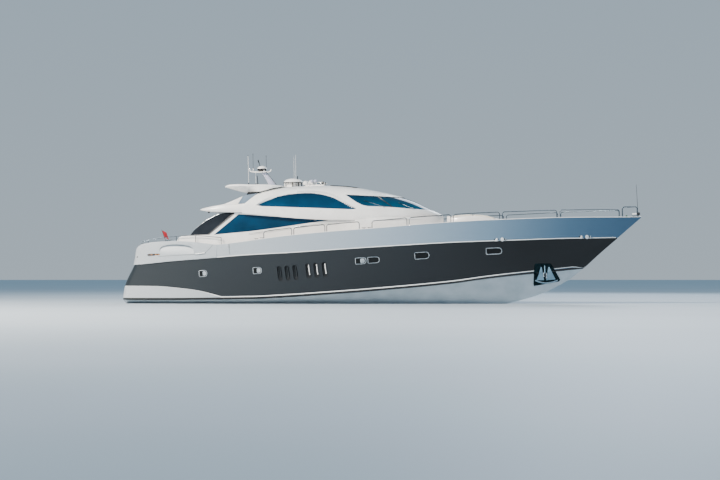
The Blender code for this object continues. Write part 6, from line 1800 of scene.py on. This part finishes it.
def makeMast():
    rings = []
    sections = {"aft": [(7.14, -7.28), (7.6, -7.51), (8.14, -7.86)], "fore": [(7.14, -6.78), (7.6, -7.11), (8.14, -7.55)],
                "half": [(7.14, 0.13), (7.65, 0.10), (8.14, 0.08)]}
    for z in spread(7.165, 8.13, 0.12):
        aft, fore, half = [smoothAt(sections[k], z) for k in ("aft", "fore", "half")]
        middle, reach = (aft + fore) / 2, (fore - aft) / 2
        rings.append([(middle + reach * math.copysign(abs(math.cos(a)) ** 0.75, math.cos(a)),
                       half * math.copysign(abs(math.sin(a)) ** 0.9, math.sin(a)), z)
                      for a in [2 * math.pi * k / 28 for k in range(28)]])
    mats = ("white", "mastGrey", "trim", "lens", "steel")
    fin = newObject("mastFin", skin(rings, True, None, True), mats)
    panel = lambda c, n: abs(n.y) > 0.55
    painted(fin, 1, panel)
    bm = bmesh.new()
    bar(bm, (-6.765, 0, 7.16), (-7.535, 0, 8.14), 0.026, 0.022, 10, 2)
    bar(bm, (-7.60, 0, 7.78), (-7.86, 0, 8.15), 0.026, 0.022, 10, 2)
    tree = rounder([(-8.60, 8.31), (-8.56, 8.22), (-8.44, 8.17), (-7.9, 8.15), (-7.45, 8.13), (-7.30, 8.14),
                    (-7.20, 8.22)], 5)
    for a, b in zip(tree, tree[1:]):
        bar(bm, (a[0], 0, a[1]), (b[0], 0, b[1]), 0.032, 0.032, 12, 0)
    arm = block("arm", (-8.30, -0.30, 8.10), (-7.45, 0.30, 8.155), mats)
    rounded(arm, 0.02, 3)
    for x, z in ((-8.61, 8.30), (-7.18, 8.22)):
        lathe(bm, [(0, 0.09), (0.035, 0.085), (0.045, 0.05), (0.045, 0.0), (0.03, -0.02), (0, -0.02)], (x, 0, z), 16,
              None, 3)
    for y in (-0.26, 0.26):
        lathe(bm, [(0, 0.10), (0.03, 0.095), (0.035, 0.0), (0, 0.0)], (-7.6, y, 8.15), 14, None, 3)
    for x, y, low, high in ((-7.50, 0.0, 8.12, 9.21), (-8.37, 0.0, 8.17, 9.36)):
        bar(bm, (x, y, low), (x, y, low + 0.22), 0.026, 0.022, 10, 0)
        bar(bm, (x, y, low + 0.2), (x, y, high - 0.07), 0.013, 0.011, 8, 2)
        bar(bm, (x, y, high - 0.08), (x, y, high), 0.018, 0.016, 10, 2)
    made = joined("mastFin", [fin, arm, newObject("gear", bm, mats)])
    finishPiece(made, "mast", sharp=40)
    dome = bmesh.new()
    mats = ("white", "trim", "lens")
    lathe(dome, [(0, 0.37), (0.10, 0.365), (0.19, 0.335), (0.26, 0.29), (0.31, 0.22), (0.315, 0.19), (0, 0.19)],
          (-7.79, 0, 8.1604), 48, None, 0)
    lathe(dome, [(0, 0.191), (0.305, 0.191), (0.30, 0.10), (0.24, 0.05), (0.16, 0.0), (0, 0.0)], (-7.79, 0, 8.1604),
          48, None, 1)
    bar(dome, (-7.90, 0, 8.46), (-7.97, 0, 8.72), 0.022, None, 12, 1)
    bar(dome, (-7.97, 0, 8.72), (-8.04, 0, 8.93), 0.042, 0.034, 16, 1)
    finishPiece(newObject("radomeCover", dome, mats), "radome", sharp=35)


def makeRoofGear():
    mats = ("white", "trim", "steel", "lens", "screenGlass", "mastGrey")
    bm = bmesh.new()
    centre = (-5.74, 0, 7.10)
    lathe(bm, [(0, 0.56), (0.20, 0.555), (0.38, 0.52), (0.52, 0.45), (0.60, 0.37), (0.62, 0.31), (0, 0.31)], centre,
          56, None, 0)
    lathe(bm, [(0, 0.311), (0.65, 0.311), (0.67, 0.285), (0.65, 0.262), (0, 0.262)], centre, 56, None, 1)
    lathe(bm, [(0, 0.262), (0.50, 0.262), (0.46, 0.10), (0.50, 0.0), (0, 0.0)], centre, 56, None, 0)
    for x, y in ((-0.50, -0.3), (0.42, -0.40), (0.05, -0.56), (0.5, 0.3), (-0.5, 0.35), (0, 0.56)):
        bar(bm, (centre[0] + x, y, 7.06), (centre[0] + x, y, 7.37), 0.035, None, 12, 0 if x < 0 else 1)
    bar(bm, (-5.40, -0.3, 7.4), (-5.40, -0.3, 7.80), 0.032, 0.028, 12, 1)
    for x, y in ((-5.75, 0.42), (-5.49, -0.42)):
        bar(bm, (x, y, 7.1), (x, y, 7.35), 0.02, None, 10, 1)
        bar(bm, (x, y, 7.35), (x, y, 9.16), 0.009, 0.006, 6, 0)
    finishPiece(newObject("roofDome", bm, mats), "roof_dome", sharp=35)
    base = refined("light_bar", 0.02, mats, 3)
    bm = bmesh.new()
    for x, y, tall in ((-4.86, -0.40, 0.30), (-4.52, -0.10, 0.36), (-4.80, 0.42, 0.30)):  # satellite cups
        lathe(bm, [(0, tall), (0.10, tall - 0.01), (0.17, tall - 0.07), (0.185, 0.08), (0.12, 0.0), (0, 0.0)],
              (x, y, 7.17), 28, None, 0)
    for k in range(3):  # air horns
        y = -0.16 + 0.16 * k
        bar(bm, (-4.55, y, 7.33), (-4.20, y, 7.36), 0.02, 0.03, 14, 2)
        bar(bm, (-4.20, y, 7.36), (-4.06, y, 7.37), 0.03, 0.075, 20, 2)
        bar(bm, (-4.5, y, 7.19), (-4.5, y, 7.33), 0.018, None, 10, 1)
    for x in (-4.45, -4.20):  # dark lamp heads on a raised bar
        lathe(bm, [(0, 0.12), (0.08, 0.11), (0.10, 0.02), (0.08, -0.08), (0, -0.08)], (x, -0.45, 7.44), 22,
              Matrix.Rotation(math.pi / 2, 4, "X"), 5)
    bar(bm, (-4.62, -0.42, 7.34), (-3.66, -0.42, 7.36), 0.02, None, 10, 0)
    for x in (-4.62, -4.15, -3.66):
        bar(bm, (x, -0.42, 7.15), (x, -0.42, 7.35), 0.018, None, 10, 0)
    for y in (-0.40, 0.40):  # floodlights
        lathe(bm, [(0, 0.10), (0.07, 0.09), (0.085, 0.0), (0.05, -0.06), (0, -0.06)], (-4.3, y, 7.36), 22,
              Matrix.Rotation(math.pi / 2, 4, "Y"), 2)
        bar(bm, (-4.3, y, 7.19), (-4.3, y, 7.34), 0.014, None, 10, 1)
    for x, y, z in ((-3.72, -0.40, 7.28), (-3.72, 0.40, 7.28)):
        lathe(bm, [(0, 0.12), (0.06, 0.11), (0.07, 0.02), (0.06, -0.09), (0, -0.09)], (x, y, z), 20, None, 1)
        bar(bm, (x + 0.05, y, z), (x + 0.11, y, z), 0.045, None, 16, 3)
    finishPiece(joined("roofLightBar", [base, newObject("horns", bm, mats)]), "light_bar")
    bm = bmesh.new()
    at0 = (-3.95, 0, 7.2004)
    lathe(bm, [(0, 0.05), (0.07, 0.045), (0.08, 0.0), (0, 0.0)], at0, 24, None, 1)
    for y in (-0.13, 0.13):
        bar(bm, (at0[0], y * 0.4, 7.235), (at0[0], y, 7.28), 0.014, None, 10, 2)
        bar(bm, (at0[0], y, 7.27), (at0[0], y, 7.33), 0.014, None, 10, 2)
    turn = Matrix.Rotation(math.pi / 2, 4, "Y")
    lathe(bm, [(0, 0.11), (0.11, 0.105), (0.118, 0.09), (0.118, -0.02), (0.09, -0.09), (0.04, -0.12), (0, -0.12)],
          (at0[0], 0, 7.32), 32, turn, 2)
    lathe(bm, [(0, 0.113), (0.10, 0.112), (0.10, 0.10), (0, 0.10)], (at0[0], 0, 7.32), 32, turn, 3)
    finishPiece(newObject("searchlightHead", bm, mats), "searchlight", "searchlight")


# Ensign: a plain red cloth that hangs in folds from its raked staff

def makeEnsign():
    foot, top = Vector((-13.97, 0, 2.90)), Vector((-14.53, 0, 4.52))
    along = (top - foot).normalized()
    bm = bmesh.new()
    bar(bm, foot + along * 0.09, top, 0.018, 0.013, 14, 0)
    lathe(bm, [(0, 0.03), (0.022, 0.02), (0.022, -0.02), (0, -0.03)], top, 14, None, 1)
    bar(bm, foot + along * 0.09, foot + along * 0.22, 0.028, None, 16, 1)
    finishPiece(newObject("ensignStaff", bm, ("wood", "steel")), "ensign_staff")
    fly, hoist, rows, steps = 0.80, 0.50, 18, 96
    forward = Vector((along.z, 0, -along.x))
    line, place, heading = [], Vector((0.017, 0.0)), 0.0
    for k in range(steps + 1):  # equal steps along a serpentine, so that the cloth keeps its cut length
        line.append(place.copy())
        heading = math.radians(108) * math.cos(math.pi * 7.5 * k / steps)
        place = place + Vector((math.cos(heading), math.sin(heading))) * fly / steps
    bm = bmesh.new()
    grid = []
    for j in range(rows + 1):
        t = j / rows
        row = []
        for k, p in enumerate(line):
            s = k / steps
            droop = 0.24 * s ** 1.2
            spot = top - along * (0.05 + hoist * t + droop) + forward * p.x + Vector((0, p.y, 0))
            row.append(bm.verts.new(spot))
        grid.append(row)
    for a, b in zip(grid, grid[1:]):
        for k in range(steps):
            bm.faces.new((a[k], a[k + 1], b[k + 1], b[k]))
    made = newObject("ensignCloth", bm, "flagRed")
    finishPiece(made, "ensign", sharp=180)


# Running gear

gear = {"shaftY": 1.45, "slope": 0.13, "foreX": -9.2, "hub": (-14.15, -1.45, -1.24), "blades": 5,
        "chord": [(0.06, 0.16), (0.18, 0.30), (0.32, 0.40), (0.45, 0.36), (0.54, 0.14)],
        "pitch": [(0.06, 62), (0.18, 50), (0.32, 38), (0.45, 30), (0.54, 26)]}


def makeRunningGear():
    y = -gear["shaftY"]
    hub = Vector(gear["hub"])
    inner = Vector((gear["foreX"], y, hub.z + (gear["foreX"] - hub.x) * gear["slope"]))
    along = (hub - inner).normalized()
    turn = along.to_track_quat("Z", "Y").to_matrix().to_4x4()
    bm = bmesh.new()
    lathe(bm, [(0, 0.0004), (0.12, 0.0004), (0.13, 0.03), (0.13, 0.20), (0.115, 0.32), (0.085, 0.40), (0.05, 0.42),
               (0, 0.42)], hub, 40, turn)
    for index in range(gear["blades"]):
        rings = []
        for radius in spread(0.06, 0.54, 0.04):
            chord, tilt = smoothAt(gear["chord"], radius), math.radians(smoothAt(gear["pitch"], radius))
            ring = []
            for k in range(16):
                angle = 2 * math.pi * k / 16
                a = 0.5 * chord * math.cos(angle)
                b = 0.5 * 0.035 * (1.25 - radius) * math.sin(angle) * (0.75 + 0.25 * math.cos(angle))
                ring.append((a * math.cos(tilt) - b * math.sin(tilt), radius,
                             a * math.sin(tilt) + b * math.cos(tilt) + 0.2))
            rings.append(ring)
        blade = skin(rings, True, None, True)
        spin = Matrix.Rotation(2 * math.pi * index / gear["blades"], 4, "Z")
        blade.transform(Matrix.Translation(hub) @ turn @ spin)
        mesh = bpy.data.meshes.new("blade")
        blade.to_mesh(mesh)
        blade.free()
        bm.from_mesh(mesh)
        bpy.data.meshes.remove(mesh)
    made = newObject("propellerStarboard", bm, "bronze")
    bothSides(made, "propeller", ("propeller_starboard", "propeller_port"), sharp=50)
    shaft = refined("shaft_starboard", 0.006, ("brushed", "bronze"), 2, name="shaftStarboard")
    bothSides(shaft, "shaft", sharp=35)
    blade = refined("rudder_starboard", 0.008, "bronze", 2, name="rudderStarboard")
    bothSides(blade, "rudder", ("rudder_starboard", "rudder_port"), sharp=35)


def dressRest():  # solids that keep their own form get the finish of their slot
    plain = {"deck": "deckWhite", "rear_window": "smokeGlass"}
    for node, finish in plain.items():
        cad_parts[node].data.materials.clear()
        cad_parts[node].data.materials.append(finishes[finish])


# The builds, in order

pieces = [makeHull, makeVentTrim, makePortholes, makeTopsides, makeRubRail, makeRails, makeDeck, makeUpperHouse,
          makeArchLouvres, makeSunroof, makeHouseGlass, makeWipers, makeOverhang, makeRadarWing, makeLowerHouse,
          makeCoachroof, makeLounge, makeStern, makeGarageDoor, makeCockpitSeats, makeHelm, makeSaloon, makeAftWall,
          makeCockpit, makeLoungePads, makeHatches, makeBowGear, makeAnchor, makeBowStaff, makeMast, makeRoofGear,
          makeEnsign, makeRunningGear, dressRest]
for make in pieces:
    make()
    print("made", make.__name__)


# Camera: the photo's, 1.7 m over the running water plane, which is tilted a degree against the boat

view = {"pixels": 1670.0, "across": 720.0, "azimuth": 7.6, "trim": 1.0, "distance": 107.4, "horizonDrop": 37.0,
        "height": 1.7, "lift": 0.52, "aside": -1.49}
trim = math.radians(view["trim"])
upright = Vector((math.sin(trim), 0, math.cos(trim)))
turned = math.radians(view["azimuth"])
ahead = Vector((-math.sin(turned), math.cos(turned), 0))
ahead = (ahead - upright * ahead.dot(upright)).normalized()
right = ahead.cross(upright)
pitch = math.atan(view["horizonDrop"] / view["pixels"])
forward = ahead * math.cos(pitch) + upright * math.sin(pitch)
over = right.cross(forward)
eye = -ahead * view["distance"] + upright * (view["height"] - view["lift"]) + right * view["aside"]
camera = bpy.data.objects.new("photoCamera", bpy.data.cameras.new("photoCamera"))
bpy.context.scene.collection.objects.link(camera)
camera.data.sensor_width = 36.0
camera.data.lens = 36.0 * view["pixels"] / view["across"]
camera.data.clip_end = 5000.0
camera.matrix_world = Matrix.Translation(eye) @ Matrix((right, over, -forward)).transposed().to_4x4()
bpy.context.scene.camera = camera


def pointAt(obj, target):
    away = Vector(obj.location) - Vector(target)
    obj.rotation_euler = away.to_track_quat("Z", "Y").to_euler()


def softLight(name, place, size, energy, hexValue):
    data = bpy.data.lights.new(name, "AREA")
    data.shape = "DISK"
    data.size = size
    data.energy = energy
    data.color = linearHex(hexValue)[:3]
    made = bpy.data.objects.new(name, data)
    made.location = place
    pointAt(made, (0, 0, 2))
    bpy.context.scene.collection.objects.link(made)


softLight("keyLight", (-42, -50, 46), 16, 120000, "#fff6ea")
softLight("fillLight", (45, -80, 16), 40, 16000, "#e2ecf8")
softLight("rearLight", (20, 60, 40), 40, 22000, "#eaf2fc")

floorPlace, floorRadius = -upright * view["lift"], 900.0
material, tree, shader, place = newFinish("paleFloor", "#c2ccd4", 0.55)
twoTones(tree, shader, blotches(tree, place, 0.05).outputs["Fac"], "#bfc9d1", "#c6d0d8")
bm = bmesh.new()
bmesh.ops.create_circle(bm, cap_ends=True, segments=96, radius=floorRadius)
mesh = bpy.data.meshes.new("floor")
bm.to_mesh(mesh)
bm.free()
mesh.materials.append(material)
floor = bpy.data.objects.new("floor", mesh)
floor.matrix_world = Matrix.Translation(floorPlace) @ upright.to_track_quat("Z", "Y").to_matrix().to_4x4()
bpy.context.scene.collection.objects.link(floor)

world = bpy.data.worlds.new("paleSky")
world.use_nodes = True
bpy.context.scene.world = world
tree = world.node_tree
back = tree.nodes["Background"]
sky = addNode(tree, "ShaderNodeTexCoord").outputs["Generated"]
height = addNode(tree, "ShaderNodeSeparateXYZ", links={0: sky}).outputs["Z"]
ramp = addNode(tree, "ShaderNodeValToRGB", links={"Fac": height})
ramp.color_ramp.elements[0].color = linearHex("#bccbd6")
ramp.color_ramp.elements[1].color = linearHex("#8fb4cf")
ramp.color_ramp.elements[1].position = 0.6
tree.links.new(ramp.outputs["Color"], back.inputs["Color"])
back.inputs["Strength"].default_value = 0.85
